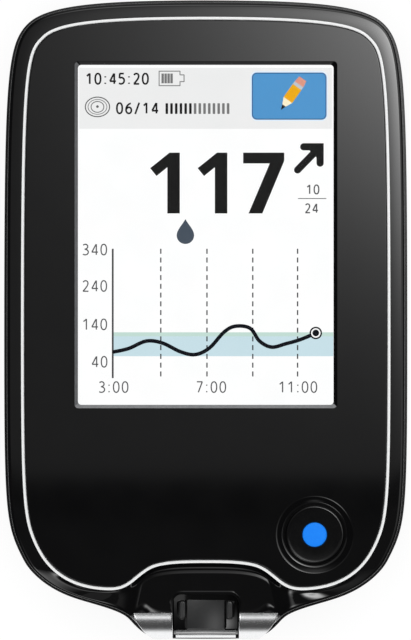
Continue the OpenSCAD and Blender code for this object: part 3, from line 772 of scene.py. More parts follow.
@dataclass
class RearCover:
    """The lower half of the case, with four sunk screws in its back."""

    outlines: Outlines
    wall: float = 1.8
    lip: float = 0.6
    turn_steps: int = 14
    screw_side: float = 5.6
    screw_head_y: float = 17.5
    screw_foot_y: float = 18.0
    sink_r: float = 1.7
    sink_depth: float = 2.4
    hole_r: float = 0.95
    lip_round: float = 0.12

    @property
    def screws(self) -> list[tuple[float, float]]:
        """Places the screws near the four corners.

        Returns:
            Their middles.
        """
        x = self.outlines.half_w - self.screw_side
        top = self.outlines.half_l - self.screw_head_y
        low = self.outlines.tip_y + self.screw_foot_y
        return [(x, top), (-x, top), (x, low), (-x, low)]

    def build(self) -> None:
        """Makes the cover as one closed loop of rings, and cuts the screw holes."""
        parting = node_box("front_shell")[0][2]
        outer, back = self.outlines.silhouette, self.outlines.back_edge
        curve_z = parting - self.lip
        turn = np.radians(np.linspace(90, 0, self.turn_steps + 1))
        outside = [at_height(outer + (back - outer) * (1 - math.cos(a)),
                             curve_z * (1 - math.sin(a))) for a in turn]
        rim = edge_rings(outer, parting, self.lip_round, 4)
        cavity = inset(outer, self.wall)
        inside = [at_height(cavity + (back - cavity) * (1 - math.cos(a)),
                            self.wall + (curve_z - self.wall) * (1 - math.sin(a)))
                  for a in turn[::-1]]
        shell = Solid().grid([*outside, *rim, at_height(cavity, parting), *inside])
        shell.fill([back], 0).fill([back], self.wall)
        piece = shell.build("rear_cover_shell", [SATIN_BLACK])
        tools = []
        for x, y in self.screws:
            sink = [(self.sink_r + 0.25, -1.0), (self.sink_r + 0.25, 0.0),
                    (self.sink_r, 0.25), (self.sink_r, self.wall + 1.0)]
            tools.append(revolved(sink, x, y, 48).build("sink", [SATIN_BLACK]))
        cut(piece, tools)
        report(piece, "case", "rear_cover", "rear_cover")
        self.build_bosses(parting)

    def build_bosses(self, parting: float) -> None:
        """Makes the screw bosses with their counterbores, which stand inside the cover.

        Args:
            parting: height of the line where the cover meets the front shell.
        """
        for number, (x, y) in enumerate(self.screws, 1):
            outer_r = self.sink_r + 0.8
            profile = [(self.sink_r, 0.9), (outer_r, 0.9), (outer_r, parting - 0.1),
                       (outer_r - 0.1, parting), (self.hole_r, parting),
                       (self.hole_r, self.sink_depth), (self.sink_r, self.sink_depth)]
            boss = Solid().grid(turned(profile, x, y, 48), loop=True)
            report(boss.build(f"cover_boss_{number}", [SATIN_BLACK]), "case", "rear_cover")


@dataclass
class FrontShell:
    """The black rim round the face, with the nose that holds the strip port."""

    outlines: Outlines
    wall: float = 1.8
    foot_inset: float = 0.4
    draft: float = 0.1
    edge_round: float = 0.55
    edge_drop: float = 0.25
    crown: float = 0.06
    nose_round: float = 4.0
    nose_drop: float = 1.4
    crease_w: float = 1.5
    slope_run: float = 5.0
    tip_run: float = 3.5
    ledge_w: float = 2.0
    ledge_t: float = 2.0
    pocket_half_w: float = 4.85
    pocket_l: float = 6.7
    pocket_r: float = 1.25
    pocket_floor: float = 7.0
    chamfer_w: float = 0.3
    chamfer_share: float = 0.043
    trim_l: float = 4.0
    mouth_w: float = 8.3
    mouth_h: float = 3.4
    turn_steps: int = 14

    def rim_height(self, d: Array, span: Array, rim: float) -> Array:
        """Height of the outside at distance d from the edge of a rim of that span.

        The outermost stretch is a quarter ellipse, and the middle rises by the crown. Over
        the nose a slope climbs from the flat to the line: a shallow flat chamfer at its
        foot, and from there as the square of the distance.

        Args:
            d: distance from the outer edge, for each point of the ring.
            span: width of the rim there.
            rim: height of the rim at the face line.

        Returns:
            The heights.
        """
        narrow = self.outlines.line_inset - self.foot_inset - self.draft
        slope = smooth((span - narrow - self.outlines.corner_w) / self.slope_run)
        tip = smooth((span - self.outlines.nose_l / 2) / self.tip_run)
        flat = rim - self.nose_drop * slope
        width = self.edge_round + (self.nose_round - self.edge_round) * tip
        drop = self.edge_drop + (self.nose_round - self.edge_drop) * tip
        c = np.clip(1 - d / width, 0, 1)
        rounding = drop * (1 - np.sqrt(1 - c * c))
        past = np.clip(d - span + self.crease_w, 0, self.crease_w)
        steep = np.clip((past - self.chamfer_w) / (self.crease_w - self.chamfer_w), 0, 1)
        share = (self.chamfer_share * np.clip(past / self.chamfer_w, 0, 1)
                 + (1 - self.chamfer_share) * steep**2)
        climb = (rim - flat) * share
        return flat - rounding - self.crown * (1 - d / span) ** 2 + climb

    def build(self) -> None:
        """Makes the rim as one closed loop of rings, and cuts its openings."""
        foot_z, rim = node_box("front_shell")[0][2], node_box("front_shell")[1][2]
        panel_z = node_box("face_panel")[0][2]
        ledge_z = panel_z - self.ledge_t
        outer, line = self.outlines.silhouette, self.outlines.face_line
        foot = inset(outer, self.foot_inset)
        side = inset(outer, self.foot_inset + self.draft)
        span = np.linalg.norm(line - side, axis=1)
        turn = np.linspace(0, np.pi / 2, self.turn_steps)
        shares = np.concatenate([0.38 * (1 - np.cos(turn)), np.linspace(0.42, 0.8, 8),
                                 np.linspace(0.84, 1.0, 25)])
        top = []
        for f in shares:
            ring = side + (line - side) * f
            top.append(at_height(ring, self.rim_height(f * span, span, rim)))
        ledge = inset(line, self.ledge_w)
        cavity = inset(outer, self.wall)
        rings = [at_height(foot, foot_z), *top, at_height(line, panel_z),
                 at_height(ledge, panel_z), at_height(ledge, ledge_z),
                 at_height(cavity, ledge_z), at_height(cavity, foot_z)]
        piece = Solid().grid(rings, loop=True).build("front_shell_rim", [GLOSS_BLACK])
        cut(piece, [self.pocket_tool(rim), self.seat_tool(rim), self.mouth_tool()], 32)
        report(piece, "case", "front_shell", "front_shell")

    def pocket_tool(self, rim: float) -> bpy.types.Object:
        """The pocket's space, whose edge is rounded and then runs out in a shallow slope.

        Args:
            rim: height of the rim at the face line.

        Returns:
            The object that cuts it out.
        """
        top, low = rim - self.nose_drop, self.pocket_floor
        y0, y1 = self.outlines.tip_y - 1, self.outlines.tip_y + self.pocket_l
        base = rounded_rect(2 * self.pocket_half_w, y1 - y0, self.pocket_r, 0, (y0 + y1) / 2)
        profile = [(0.0, low), (0.0, top - 0.3), (0.02, top - 0.17), (0.06, top - 0.1),
                   (0.12, top - 0.07), (0.36, top - 0.02), (0.4, top + 0.0), (0.4, top + 2)]
        rings = [at_height(inset(base, -d), z) for d, z in profile]
        return tower(rings).build("tool", [GLOSS_BLACK])

    def seat_tool(self, rim: float) -> bpy.types.Object:
        """The space of the bright trim at the end of the nose.

        Args:
            rim: height of the rim at the face line.

        Returns:
            The object that cuts it out.
        """
        edge = trim_edge(self.outlines, self.trim_l, 8)
        tip = edge[-1] + [-0.15, 0]
        half = np.concatenate([[[0, edge[0][1]]], edge,
                               [[tip[0], self.outlines.tip_y - 1],
                                [0, self.outlines.tip_y - 1]]])
        ring = mirrored(half)
        rings = [at_height(ring, self.pocket_floor), at_height(ring, rim + 2)]
        return tower(rings).build("tool", [GLOSS_BLACK])

    def mouth_tool(self) -> bpy.types.Object:
        """The space of the charging socket's mouth, with a rounded outer edge.

        Returns:
            The object that cuts it out.
        """
        low, high = node_box("usb_shell")
        ring = rounded_rect(self.mouth_w, self.mouth_h, 0.9, 0, (low[2] + high[2]) / 2)
        far = self.outlines.half_l
        profile = [(far - 4, 0.0), (far - 0.45, 0.0), (far - 0.25, 0.1), (far - 0.12, 0.3),
                   (far + 1, 0.5)]
        rings = [np.column_stack([r[:, 0], np.full(len(r), y), r[:, 1]])
                 for y, d in profile for r in [inset(ring, -d)]]
        return tower(rings).build("tool", [GLOSS_BLACK])


def trim_edge(outlines: Outlines, trim_l: float, refine: int) -> Array:
    """Right edge of the bright trim, from its top corner to the tip.

    Args:
        outlines: the outlines that it follows.
        trim_l: how far the trim reaches from the tip.
        refine: how many points stand for each of the part's own points.

    Returns:
        The points, one row each.
    """
    w, tip = outlines.nose_half_w, outlines.tip_y
    return curve([
        Knot(w - 0.2, tip + trim_l, -85, 0, 0.8, 4),
        Knot(w - 1.5, tip + 1.4, -125, 1.2, 0.7, 3),
        Knot(w - 2.9, tip + 0.15, -150, 0.5),
    ], refine, closed_end=True)


# ---- the face --------------------------------------------------------------------------


@dataclass
class Face:
    """The glossy face panel with the white line round it."""

    outlines: Outlines
    line_w: float = 0.5
    play: float = 0.05
    edge: float = 0.14
    screen_bevel: float = 0.5
    bevel_drop: float = 0.55
    dish_r: float = 5.66
    groove_r: float = 4.84
    hole_r: float = 4.5
    dish_depth: float = 0.5
    chamfer_w: float = 0.16
    chamfer_rise: float = 0.033
    screen_w: float = 37.9
    screen_h: float = 50.4
    screen_y: float = 12.55

    def build(self) -> None:
        """Makes the white line and the panel."""
        self.build_line()
        self.build_panel()

    def build_line(self) -> None:
        """Makes the inlay as a ring with rounded upper edges."""
        low, high = node_box("white_inlay")
        outer = inset(self.outlines.face_line, self.play)
        inner = inset(self.outlines.face_line, self.line_w)
        up = edge_rings(outer, high[2], 0.1, 4)
        down = edge_rings(inner, high[2], 0.1, 4, outward=True)[::-1]
        rings = [at_height(outer, low[2]), *up, *down, at_height(inner, low[2])]
        piece = Solid().grid(rings, loop=True).build("white_line", [INLAY_WHITE], 50)
        report(piece, "case", "white_inlay", "white_inlay")

    def build_panel(self) -> None:
        """Makes the panel: rounded rim, flat face, sloped screen edge with painted highlights, and
        button dish.
        """
        low, high = node_box("face_panel")
        foot, top = low[2], high[2]
        rim = inset(self.outlines.face_line, self.line_w + self.play)
        solid = Solid()
        outer = edge_rings(rim, top, self.edge)
        solid.grid([at_height(rim, foot), *outer])
        screen = self.screen_loops(solid, foot, top)
        button, hole = self.dish(solid, foot, top)
        solid.fill([outer[-1][:, :2], screen[0], button], top)
        solid.fill([rim, screen[1], hole], foot)
        piece = solid.build("face_panel_gloss",
                            [PANEL_BLACK, BEVEL_PAINTED_HALF_LIGHT, BEVEL_PAINTED_HIGHLIGHT], 32)
        report(piece, "case", "face_panel", "face_panel")

    def screen_loops(self, solid: Solid, foot: float, top: float) -> tuple[Array, Array]:
        """Adds the sloped edge of the screen opening, with painted highlights on its lower and
        left faces.

        Args:
            solid: the panel's mesh.
            foot: height of the panel's back.
            top: height of its face.

        Returns:
            The loop on the face and the loop on the back.
        """
        wall, ledge, on_face, support = (
            rounded_rect(self.screen_w + 2 * grow, self.screen_h + 2 * grow, radius, 0,
                         self.screen_y, 6)
            for grow, radius in ((0, 0.5), (self.screen_bevel, 0.55),
                                 (self.screen_bevel + 0.06, 0.6),
                                 (self.screen_bevel + 0.1, 0.65)))
        lip = at_height(wall, top - self.bevel_drop)
        rim = at_height(ledge, top - 0.05)
        solid.grid([at_height(wall, foot), lip])
        # Painted highlights: the bevel's lower faces get a pale colour and its left faces a grey
        # one, as if lit from the upper right; the rest stay panel black.
        middle = (lip + np.roll(lip, -1, axis=0)) / 2
        left = middle[:, 0] < -self.screen_w / 2 + 0.25
        low = middle[:, 1] < self.screen_y - self.screen_h / 2 + 0.25
        solid.grid([lip, rim], slot=np.where(low, 2, np.where(left, 1, 0))[None, :])
        solid.grid([rim, at_height(on_face, top), at_height(support, top)])
        return support, wall

    def dish(self, solid: Solid, foot: float, top: float) -> tuple[Array, Array]:
        """Adds the dish round the button.

        Args:
            solid: the panel's mesh.
            foot: height of the panel's back.
            top: height of its face.

        Returns:
            The loop on the face and the loop on the back.
        """
        x, y = button_centre()
        floor, w, rise = top - self.dish_depth, self.chamfer_w, self.chamfer_rise
        profile = [(self.hole_r, foot), (self.hole_r, floor - 0.06), (self.hole_r + 0.06, floor),
                   (self.groove_r - w / 4, floor), (self.groove_r + w / 4, floor + rise / 2),
                   (self.groove_r + w / 2, floor + 0.08),
                   (self.dish_r - w / 2 - 0.02, top - rise - 0.01),
                   (self.dish_r - w / 2, top - rise), (self.dish_r + w / 2, top - 0.002),
                   (self.dish_r + w / 2 + 0.03, top), (self.dish_r + w / 2 + 0.09, top)]
        solid.grid(turned(profile, x, y))
        return circle(profile[-1][0], x, y), circle(self.hole_r, x, y)


def button_centre() -> tuple[float, float]:
    """The middle of the home button."""
    low, high = node_box("home_button")
    return float(low[0] + high[0]) / 2, float(low[1] + high[1]) / 2


# ---- the home button ---------------------------------------------------------------------


@dataclass
class HomeButton:
    """The round cap with a blue dot sunk in it."""

    cap_r: float = 4.35
    dot_r: float = 1.8
    edge: float = 0.28
    sag: float = 0.03
    well: float = 0.12
    stem_r: float = 1.5
    stem_l: float = 1.88
    flange_t: float = 0.7

    def build(self) -> None:
        """Makes the cap and the dot."""
        x, y = button_centre()
        low, high = node_box("home_button")
        top, foot = high[2], low[2]
        flange_r = float(high[0] - low[0]) / 2
        flange_z = foot + self.stem_l
        turn = np.radians(np.linspace(0, 60, 6))
        body = [(self.stem_r, foot), (self.stem_r, flange_z), (flange_r, flange_z),
                (flange_r, flange_z + self.flange_t), (self.cap_r, flange_z + self.flange_t)]
        body += [(self.cap_r - self.edge * (1 - math.cos(a)),
                  top - 0.035 - self.edge * (math.sin(turn[-1]) - math.sin(a))) for a in turn]
        body += [(self.cap_r - self.edge / 2 - 0.16, top - 0.002)]
        r = np.linspace(self.cap_r - 1.2 * self.edge, self.dot_r + 0.12, 8)
        sag = self.sag * (1 - ((r - self.dot_r) / (self.cap_r - self.dot_r)) ** 2)
        body += [(float(a), float(top - b)) for a, b in zip(r, sag)]
        body += [(self.dot_r + 0.05, top - self.well), (self.dot_r + 0.04, top - 0.5)]
        cap = revolved(body, x, y, 128).build("home_cap", [CAP_BLACK], 32)
        report(cap, "button", "home_button", "home_button")
        dot_top = node_box("button_dot")[1][2]
        dot = [(self.dot_r, top - 0.49), (self.dot_r, dot_top - 0.06),
               (self.dot_r - 0.06, dot_top - 0.01), (self.dot_r - 0.2, dot_top),
               (0.9, dot_top)]
        piece = revolved(dot, x, y, 96).build("blue_dot", [DOT_BLUE], 40)
        report(piece, "button", "button_dot", "button_dot")


# ---- the strip port ------------------------------------------------------------------------


@dataclass
class StripPort:
    """The dark insert in the nose's pocket and the bright trim at its end."""

    outlines: Outlines
    pocket_half_w: float = 4.85
    trim_l: float = 4.0
    nose_round: float = 4.0
    bridge_half_w: float = 4.45
    bridge_back: float = 0.18
    bridge_r: float = 1.25
    slot_half_w: float = 3.1
    slot_h: float = 0.9
    middle_half_w: float = 2.8
    sill_half_w: float = 4.4
    cheek_w: float = 1.2
    cheek_x: float = 3.5

    def build(self) -> None:
        """Makes the insert and the trim."""
        self.build_insert()
        self.build_trim()

    def block(self, half_w: float, profile: Sequence[tuple[float, float]],
              edge: float, x: float = 0.0) -> Solid:
        """A bar along X whose ends have rounded edges.

        Args:
            half_w: half its length.
            profile: its (y, z) outline.
            edge: radius of the edges of its ends.
            x: its middle.

        Returns:
            The bar.
        """
        ring = np.array(profile)
        shrink = [(half_w, edge), (half_w - 0.3 * edge, 0.3 * edge), (half_w - edge, 0.0)]
        stations = [(-w, d) for w, d in shrink] + [(w, d) for w, d in shrink[::-1]]
        rings = []
        for w, d in stations:
            r = inset(ring, d)
            rings.append(np.column_stack([np.full(len(r), x + w), r]))
        return tower(rings)

    def build_insert(self) -> None:
        """Makes the flat middle, the sloping front with the slot, and the two cheeks."""
        low, high = node_box("port_insert")
        tip, back, top, foot = self.outlines.tip_y, high[1], high[2], low[2]
        slot_z = foot + 0.45 + self.slot_h / 2
        half_w = high[0]
        middle = [(back, top - 1), (back, top), (tip + 1.66, top), (tip + 1.58, top - 0.03),
                  (tip + 1.53, top - 0.12), (tip + 1.5, top - 0.9), (tip + 1.3, top - 1.1)]
        floor = [(back, foot), (back, top - 0.9), (tip + 1.6, top - 0.9),
                 (tip + 1.35, top - 1.0), (tip + 1.2, top - 1.2),
                 (tip + 0.75, slot_z + self.slot_h / 2 + 0.3), (tip + 0.75, foot)]
        piece = self.block(self.middle_half_w, middle, 0.12)
        piece = piece.build("insert_middle", [SMOKED], 30)
        report(piece, "case", "port_insert", "port_insert")
        base = self.block(half_w, floor, 0.06).build("insert_base", [CAP_BLACK], 30)
        slot = [(tip - 1, slot_z - self.slot_h / 2), (tip - 1, slot_z + self.slot_h / 2),
                (back + 1, slot_z + self.slot_h / 2), (back + 1, slot_z - self.slot_h / 2)]
        tool = self.block(self.slot_half_w, slot, 0.0001).build("tool", [SMOKED])
        report(cut(base, [tool], 30), "case", "port_insert")
        shelf = [(back - 0.1, top - 1.6), (tip + 7.05, top - 1.6), (tip + 7.05, top - 1.1),
                 (back - 0.1, top - 1.1)]
        report(self.block(half_w, shelf, 0.02).build("insert_shelf", [CAP_BLACK], 30),
               "case", "port_insert")
        sill = [(tip + 1.36, top - 0.95), (tip + 1.26, top - 1.02), (tip + 1.04, top - 1.2),
                (tip + 1.0, top - 1.32), (tip + 1.18, top - 1.42), (tip + 1.42, top - 1.1)]
        report(self.block(self.sill_half_w, sill, 0.03).build("slot_sill", [CHROME], 30),
               "case", "port_insert")
        for side, word in ((-1, "left"), (1, "right")):
            self.build_cheek(side, f"cheek_{word}", back, tip + 2.95, top)

    def build_cheek(self, side: int, name: str, back: float, front: float,
                    top: float) -> None:
        """Makes one raised cheek with a rounded top.

        Args:
            side: -1 for the left cheek and 1 for the right.
            name: name of the piece.
            back: where it ends towards the screen.
            front: where it ends towards the tip.
            top: height of the insert.
        """
        ring = rounded_rect(self.cheek_w, back - front, 0.55, side * self.cheek_x,
                            (back + front) / 2)
        rings = [at_height(ring, top - 1.0), *edge_rings(ring, top - 0.1, 0.35)]
        report(tower(rings).build(name, [SMOKED], 40), "case", "port_insert")

    def build_trim(self) -> None:
        """Makes the two rounded wings and the bridge under the slot.

        A wing's rings run along X. Each ring is the nose's end profile: a quarter circle
        from the top to the tip, closed behind by the seat.
        """
        low, high = node_box("port_trim")
        tip, top, foot = self.outlines.tip_y, high[2], low[2]
        edge = trim_edge(self.outlines, self.trim_l, 6) - [0.05, 0]
        inner = self.pocket_half_w + 0.07
        for side, word in ((-1, "left"), (1, "right")):
            self.build_wing(side, f"wing_{word}", edge, inner, tip, top, foot)
        lip = node_box("port_insert")[0][2] - 0.05
        turn = np.radians(np.linspace(0, 90, 13))
        front, r = tip + self.bridge_back, self.bridge_r
        bridge = [(tip + 2.35, foot), (tip + 2.35, lip)]
        bridge += [(front + r * (1 - math.sin(a)), lip - r * (1 - math.cos(a))) for a in turn]
        bridge += [(front, foot)]
        piece = self.block(self.bridge_half_w, bridge, 0.02).build("slot_bridge", [CHROME], 30)
        report(piece, "case", "port_trim")
        post = [(tip + 2.35, foot), (tip + 2.35, lip + 0.2), (front + 0.1, lip + 0.2),
                (front, lip + 0.1), (front, foot)]
        half, middle = (inner - self.bridge_half_w) / 2, (inner + self.bridge_half_w) / 2
        for side, word in ((-1, "left"), (1, "right")):
            piece = self.block(half, post, 0.02, side * middle)
            report(piece.build(f"slot_post_{word}", [CAP_BLACK], 30), "case", "port_insert")

    def build_wing(self, side: int, name: str, edge: Array, inner: float, tip: float,
                   top: float, foot: float) -> None:
        """Makes one wing as a grid over its plan.

        The outside at distance y from the tip stands at top - r + sqrt(r^2 - (r - y)^2).

        Args:
            side: -1 for the left wing and 1 for the right.
            name: name of the piece.
            edge: the wing's outer edge, from the back corner to the tip.
            inner: where the wing starts beside the pocket.
            tip: where the nose ends.
            top: height of the nose.
            foot: height of the wing's foot.
        """
        r, soft = self.nose_round, 0.12
        back = tip + self.trim_l - 0.05
        angle = np.radians(np.linspace(0, 88, 30))
        ys = np.minimum(tip + r - r * np.sin(angle), back)
        zs = top - r + r * np.cos(angle)
        right = np.interp(ys, edge[::-1, 1], edge[::-1, 0])
        across = np.concatenate([[0, 0.004, 0.012, 0.03], np.linspace(0.06, 0.94, 8),
                                 [0.97, 0.988, 0.996, 1]])
        width = right - inner
        normal_y, normal_z = -np.sin(angle), np.cos(angle)
        rings = []
        for f in across:
            x = inner + width * f
            d = np.minimum(x - inner, right - x)
            sink = soft - np.sqrt(np.clip(soft**2 - np.clip(soft - d, 0, soft) ** 2, 0, None))
            line = np.column_stack([side * x, ys - sink * normal_y, zs - sink * normal_z])
            end = [[side * x[-1], line[-1, 1], foot], [side * x[0], back, foot]]
            rings.append(np.concatenate([line, end]))
        report(tower(rings).build(name, [CHROME], 40), "case", "port_trim",
               *(["port_trim"] if side > 0 else []))


# ---- the display -----------------------------------------------------------------------------


class Layer(Enum):
    """Heights of the display's layers above the page, in hundredths of a millimetre."""

    PAGE = 0
    FIELD = 1
    GRID = 2
    LINE = 3
    MARK = 4
    TOP = 5
    DOT = 6


INK = lit("ink", 28, 28, 28)
INK_SOFT = lit("ink_soft", 84, 84, 86)
PAGE_WHITE = lit("page_white", 255, 255, 255)
HEADER_GREY = lit("header_grey", 238, 238, 238)
BAND_BLUE = lit("band_blue", 200, 224, 232)
BAND_GREEN = lit("band_green", 196, 222, 213)
KEY_BLUE = lit("key_blue", 82, 150, 205)
KEY_EDGE = lit("key_edge", 55, 102, 152)
KEY_HALO = lit("key_halo", 226, 240, 252)
SLATE = lit("slate", 72, 82, 94)
CELL_GREY = lit("cell_grey", 120, 120, 120)
ICON_GREY = lit("icon_grey", 96, 96, 96)
PENCIL_GOLD = lit("pencil_gold", 240, 172, 24)
PENCIL_PALE = lit("pencil_pale", 252, 240, 206)
PENCIL_PINK = lit("pencil_pink", 222, 152, 132)
PENCIL_BAND = lit("pencil_band", 190, 196, 204)
TRACE = lit("trace", 18, 20, 26)
RULE_GREY = lit("rule_grey", 66, 66, 68)

# Each sign's strokes: the middle lines of a sign one unit high.
SIGN_W = 0.52
SIGNS: dict[str, list[list[Knot]]] = {
    "0": [[Knot(0.26, 1, 0, 0.16, 0.16, 8), Knot(0.52, 0.5, -90, 0.32, 0.32, 8),
           Knot(0.26, 0, 180, 0.16, 0.16, 8), Knot(0, 0.5, 90, 0.32, 0.32, 8),
           Knot(0.26, 1, 0, 0.16)]],
    "1": [[Knot(0.06, 0.76, 38, 0, 0.1, 2), Knot(0.34, 1, 42, 0.1)],
          [Knot(0.34, 1.02, -90, 0, 0.3, 2), Knot(0.34, 0, -90, 0.3)]],
    "2": [[Knot(0.03, 0.86, 48, 0, 0.12, 6), Knot(0.26, 1, 0, 0.1, 0.15, 6),
           Knot(0.49, 0.74, -90, 0.14, 0.2, 8), Knot(0.03, 0.02, -136, 0.25)],
          [Knot(0, 0, 0, 0, 0.1, 2), Knot(0.54, 0, 0, 0.1)]],
    "3": [[Knot(0.03, 0.92, 32, 0, 0.1, 5), Knot(0.25, 1, 0, 0.1, 0.14, 6),
           Knot(0.47, 0.77, -90, 0.12, 0.12, 6), Knot(0.17, 0.53, 180, 0.14)],
          [Knot(0.17, 0.53, 0, 0, 0.2, 6), Knot(0.52, 0.27, -90, 0.14, 0.15, 6),
           Knot(0.22, 0, 180, 0.18, 0.1, 5), Knot(0, 0.06, 160, 0.1)]],
    "4": [[Knot(0.4, 1, -124, 0, 0.3, 2), Knot(0, 0.28, -124, 0.3)],
          [Knot(-0.02, 0.26, 0, 0, 0.1, 2), Knot(0.58, 0.26, 0, 0.1)],
          [Knot(0.42, 1.02, -90, 0, 0.3, 2), Knot(0.42, 0, -90, 0.3)]],
    "5": [[Knot(0.48, 1, 180, 0, 0.1, 2), Knot(0.07, 1, 180, 0.1)],
          [Knot(0.08, 1.02, -93, 0, 0.1, 2), Knot(0.05, 0.55, -93, 0.1)],
          [Knot(0.05, 0.56, 24, 0, 0.08, 4), Knot(0.24, 0.61, 0, 0.06, 0.18, 6),
           Knot(0.51, 0.31, -90, 0.16, 0.17, 6), Knot(0.21, 0, 180, 0.15, 0.1, 5),
           Knot(0, 0.06, 160, 0.1)]],
    "6": [[Knot(0.47, 0.97, 190, 0, 0.2, 7), Knot(0, 0.37, -92, 0.36, 0.2, 6),
           Knot(0.27, 0, 0, 0.16, 0.15, 6), Knot(0.52, 0.3, 90, 0.16, 0.16, 6),
           Knot(0.28, 0.59, 180, 0.15, 0.14, 6), Knot(0.01, 0.36, -112, 0.1)]],
    "7": [[Knot(0, 1, 0, 0, 0.1, 2), Knot(0.54, 1, 0, 0.1)],
          [Knot(0.52, 1, -112, 0, 0.3, 2), Knot(0.14, 0, -112, 0.3)]],
    ":": [[Knot(0.1, 0.74, -90, 0, 0.03, 1), Knot(0.1, 0.62, -90, 0.03)],
          [Knot(0.1, 0.12, -90, 0, 0.03, 1), Knot(0.1, 0, -90, 0.03)]],
    "/": [[Knot(0, -0.06, 68, 0, 0.3, 2), Knot(0.4, 1.04, 68, 0.3)]],
}
SIGN_WIDTHS = {":": 0.2, "/": 0.4}
# Outlines of the large figures of the reading, in millimetres from the foot.
BOLD_ONE = [(4.4, 9.02), (2.87, 9.02), (0, 6.72), (0.94, 5.56), (2.55, 6.85), (2.55, 0),
            (4.4, 0)]
BOLD_SEVEN = [(0, 9.02), (6.1, 9.02), (6.1, 7.8), (2.85, 0), (0.8, 0), (3.95, 7.42),
              (0, 7.42)]


@dataclass
class Display:
    """The lit page behind the touch glass: a reading, an arrow, a key and a graph.

    Places on the page are (u, v) in millimetres from its upper left corner, v downwards.
    """

    width: float = 38.7
    height: float = 51.2
    centre_y: float = 12.55
    page_z: float = 13.2
    sheet: float = 0.008
    step: float = 0.01
    left: float = 19.02
    upper: float = 37.7
    groups: dict[str, tuple[Finish, Solid]] = field(default_factory=dict)

    def on_page(self, points: Array | Sequence[tuple[float, float]]) -> Array:
        """The page's (u, v) points as places in the meter's frame."""
        uv = np.asarray(points, float)
        return np.column_stack([uv[:, 0] - self.left, self.upper - uv[:, 1]])

    def solid(self, name: str, finish: Finish) -> Solid:
        """The mesh of the piece of that name, begun the first time it is asked for."""
        return self.groups.setdefault(name, (finish, Solid()))[1]

    def plate(self, name: str, finish: Finish, ring: Array, layer: Layer) -> None:
        """Adds a thin plate to the piece of that name.

        Args:
            name: name of the piece that the plate joins.
            finish: its finish.
            ring: its outline in the meter's frame.
            layer: the layer that it lies on.
        """
        z = self.page_z + layer.value * self.step
        solid = self.solid(name, finish)
        solid.grid([at_height(ring, z), at_height(ring, z + self.sheet)])
        solid.fill([ring], z).fill([ring], z + self.sheet)

    def box(self, name: str, finish: Finish, u0: float, u1: float, v0: float, v1: float,
            layer: Layer, radius: float = 0.0) -> None:
        """Adds an upright rectangle.

        Args:
            name: name of the piece that it joins.
            finish: its finish.
            u0: its left side.
            u1: its right side.
            v0: its upper side.
            v1: its lower side.
            layer: the layer that it lies on.
            radius: radius of its corners, or 0 for square ones.
        """
        u, v = (u0 + u1) / 2, (v0 + v1) / 2
        ring = rounded_rect(u1 - u0, v1 - v0, max(radius, 0.001), 0, 0, 5 if radius else 1)
        self.plate(name, finish, ring + self.on_page([(u, v)]), layer)

    def stroke(self, name: str, finish: Finish, path: Array, width: float,
               layer: Layer, round_ends: bool = False) -> None:
        """Adds a line of even width along the path.

        Each side stands half the width off the path, square to it.

        Args:
            name: name of the piece that the line joins.
            finish: its finish.
            path: its middle, in (u, v).
            width: its width.
            layer: the layer that it lies on.
            round_ends: whether a disc lies on each end.
        """
        line = self.on_page(path)
        ahead = np.gradient(line, axis=0)
        ahead /= np.linalg.norm(ahead, axis=1, keepdims=True)
        side = np.column_stack([ahead[:, 1], -ahead[:, 0]]) * width / 2
        z = self.page_z + layer.value * self.step
        left, right = line + side, line - side
        low, high = np.full(len(line), z), np.full(len(line), z + self.sheet)
        rings = [np.column_stack([left, low]), np.column_stack([right, low]),
                 np.column_stack([right, high]), np.column_stack([left, high])]
        table = np.stack(rings, axis=1)
        self.solid(name, finish).grid(list(table)).cap(table[0]).cap(table[-1])
        if round_ends:
            for end in (line[0], line[-1]):
                self.plate(name, finish, circle(width / 2, *end, 20), layer)

    def number(self, name: str, finish: Finish, text: str, u: float, v: float,
               height: float, weight: float, layer: Layer, spacing: float = 0.22,
               stretch: float = 1.0) -> float:
        """Adds plain figures whose foot stands at v and which start at u.

        Args:
            name: name of the piece that the figures join.
            finish: their finish.
            text: the figures.
            u: where they start.
            v: where they stand.
            height: their height over all.
            weight: the width of their strokes.
            layer: the layer that they lie on.
            spacing: the gap between figures, as a share of the height.
            stretch: how much wider than drawn they are.

        Returns:
            Where they end.
        """
        tall = height - weight
        for sign in text:
            for knots in SIGNS[sign]:
                path = curve(knots, 2, closed_end=True)
                places = np.column_stack([u + weight / 2 + path[:, 0] * tall * stretch,
                                          v - weight / 2 - path[:, 1] * tall])
                self.stroke(name, finish, places, weight, layer)
            u += (SIGN_WIDTHS.get(sign, SIGN_W) * tall * stretch + weight
                  + spacing * height)
        return u - spacing * height

    def build(self) -> None:
        """Makes the display body, then the page and everything on it."""
        self.build_body()
        self.page()
        self.header()
        self.key()
        self.reading()
        self.graph()
        for name, (finish, solid) in self.groups.items():
            piece = solid.build(name, [finish], 60, 1e-5)
            report(piece, "case", "lcd_panel")

    def build_body(self) -> None:
        """Makes the display's glass body under the page."""
        low, high = node_box("lcd_panel")
        size, middle = high - low, (high + low) / 2
        ring = rounded_rect(size[0], size[1], 0.4, middle[0], middle[1])
        rings = [at_height(inset(ring, 0.15), low[2]), at_height(ring, low[2] + 0.15),
                 *edge_rings(ring, self.page_z - 0.02, 0.15, 4)]
        piece = tower(rings).build("display_body", [CHIP_BLACK])
        report(piece, "case", "lcd_panel", "lcd_panel")

    def page(self) -> None:
        """Adds the white page."""
        ring = rounded_rect(self.width, self.height, 0.4, 0, self.centre_y)
        self.plate("page", PAGE_WHITE, ring, Layer.PAGE)

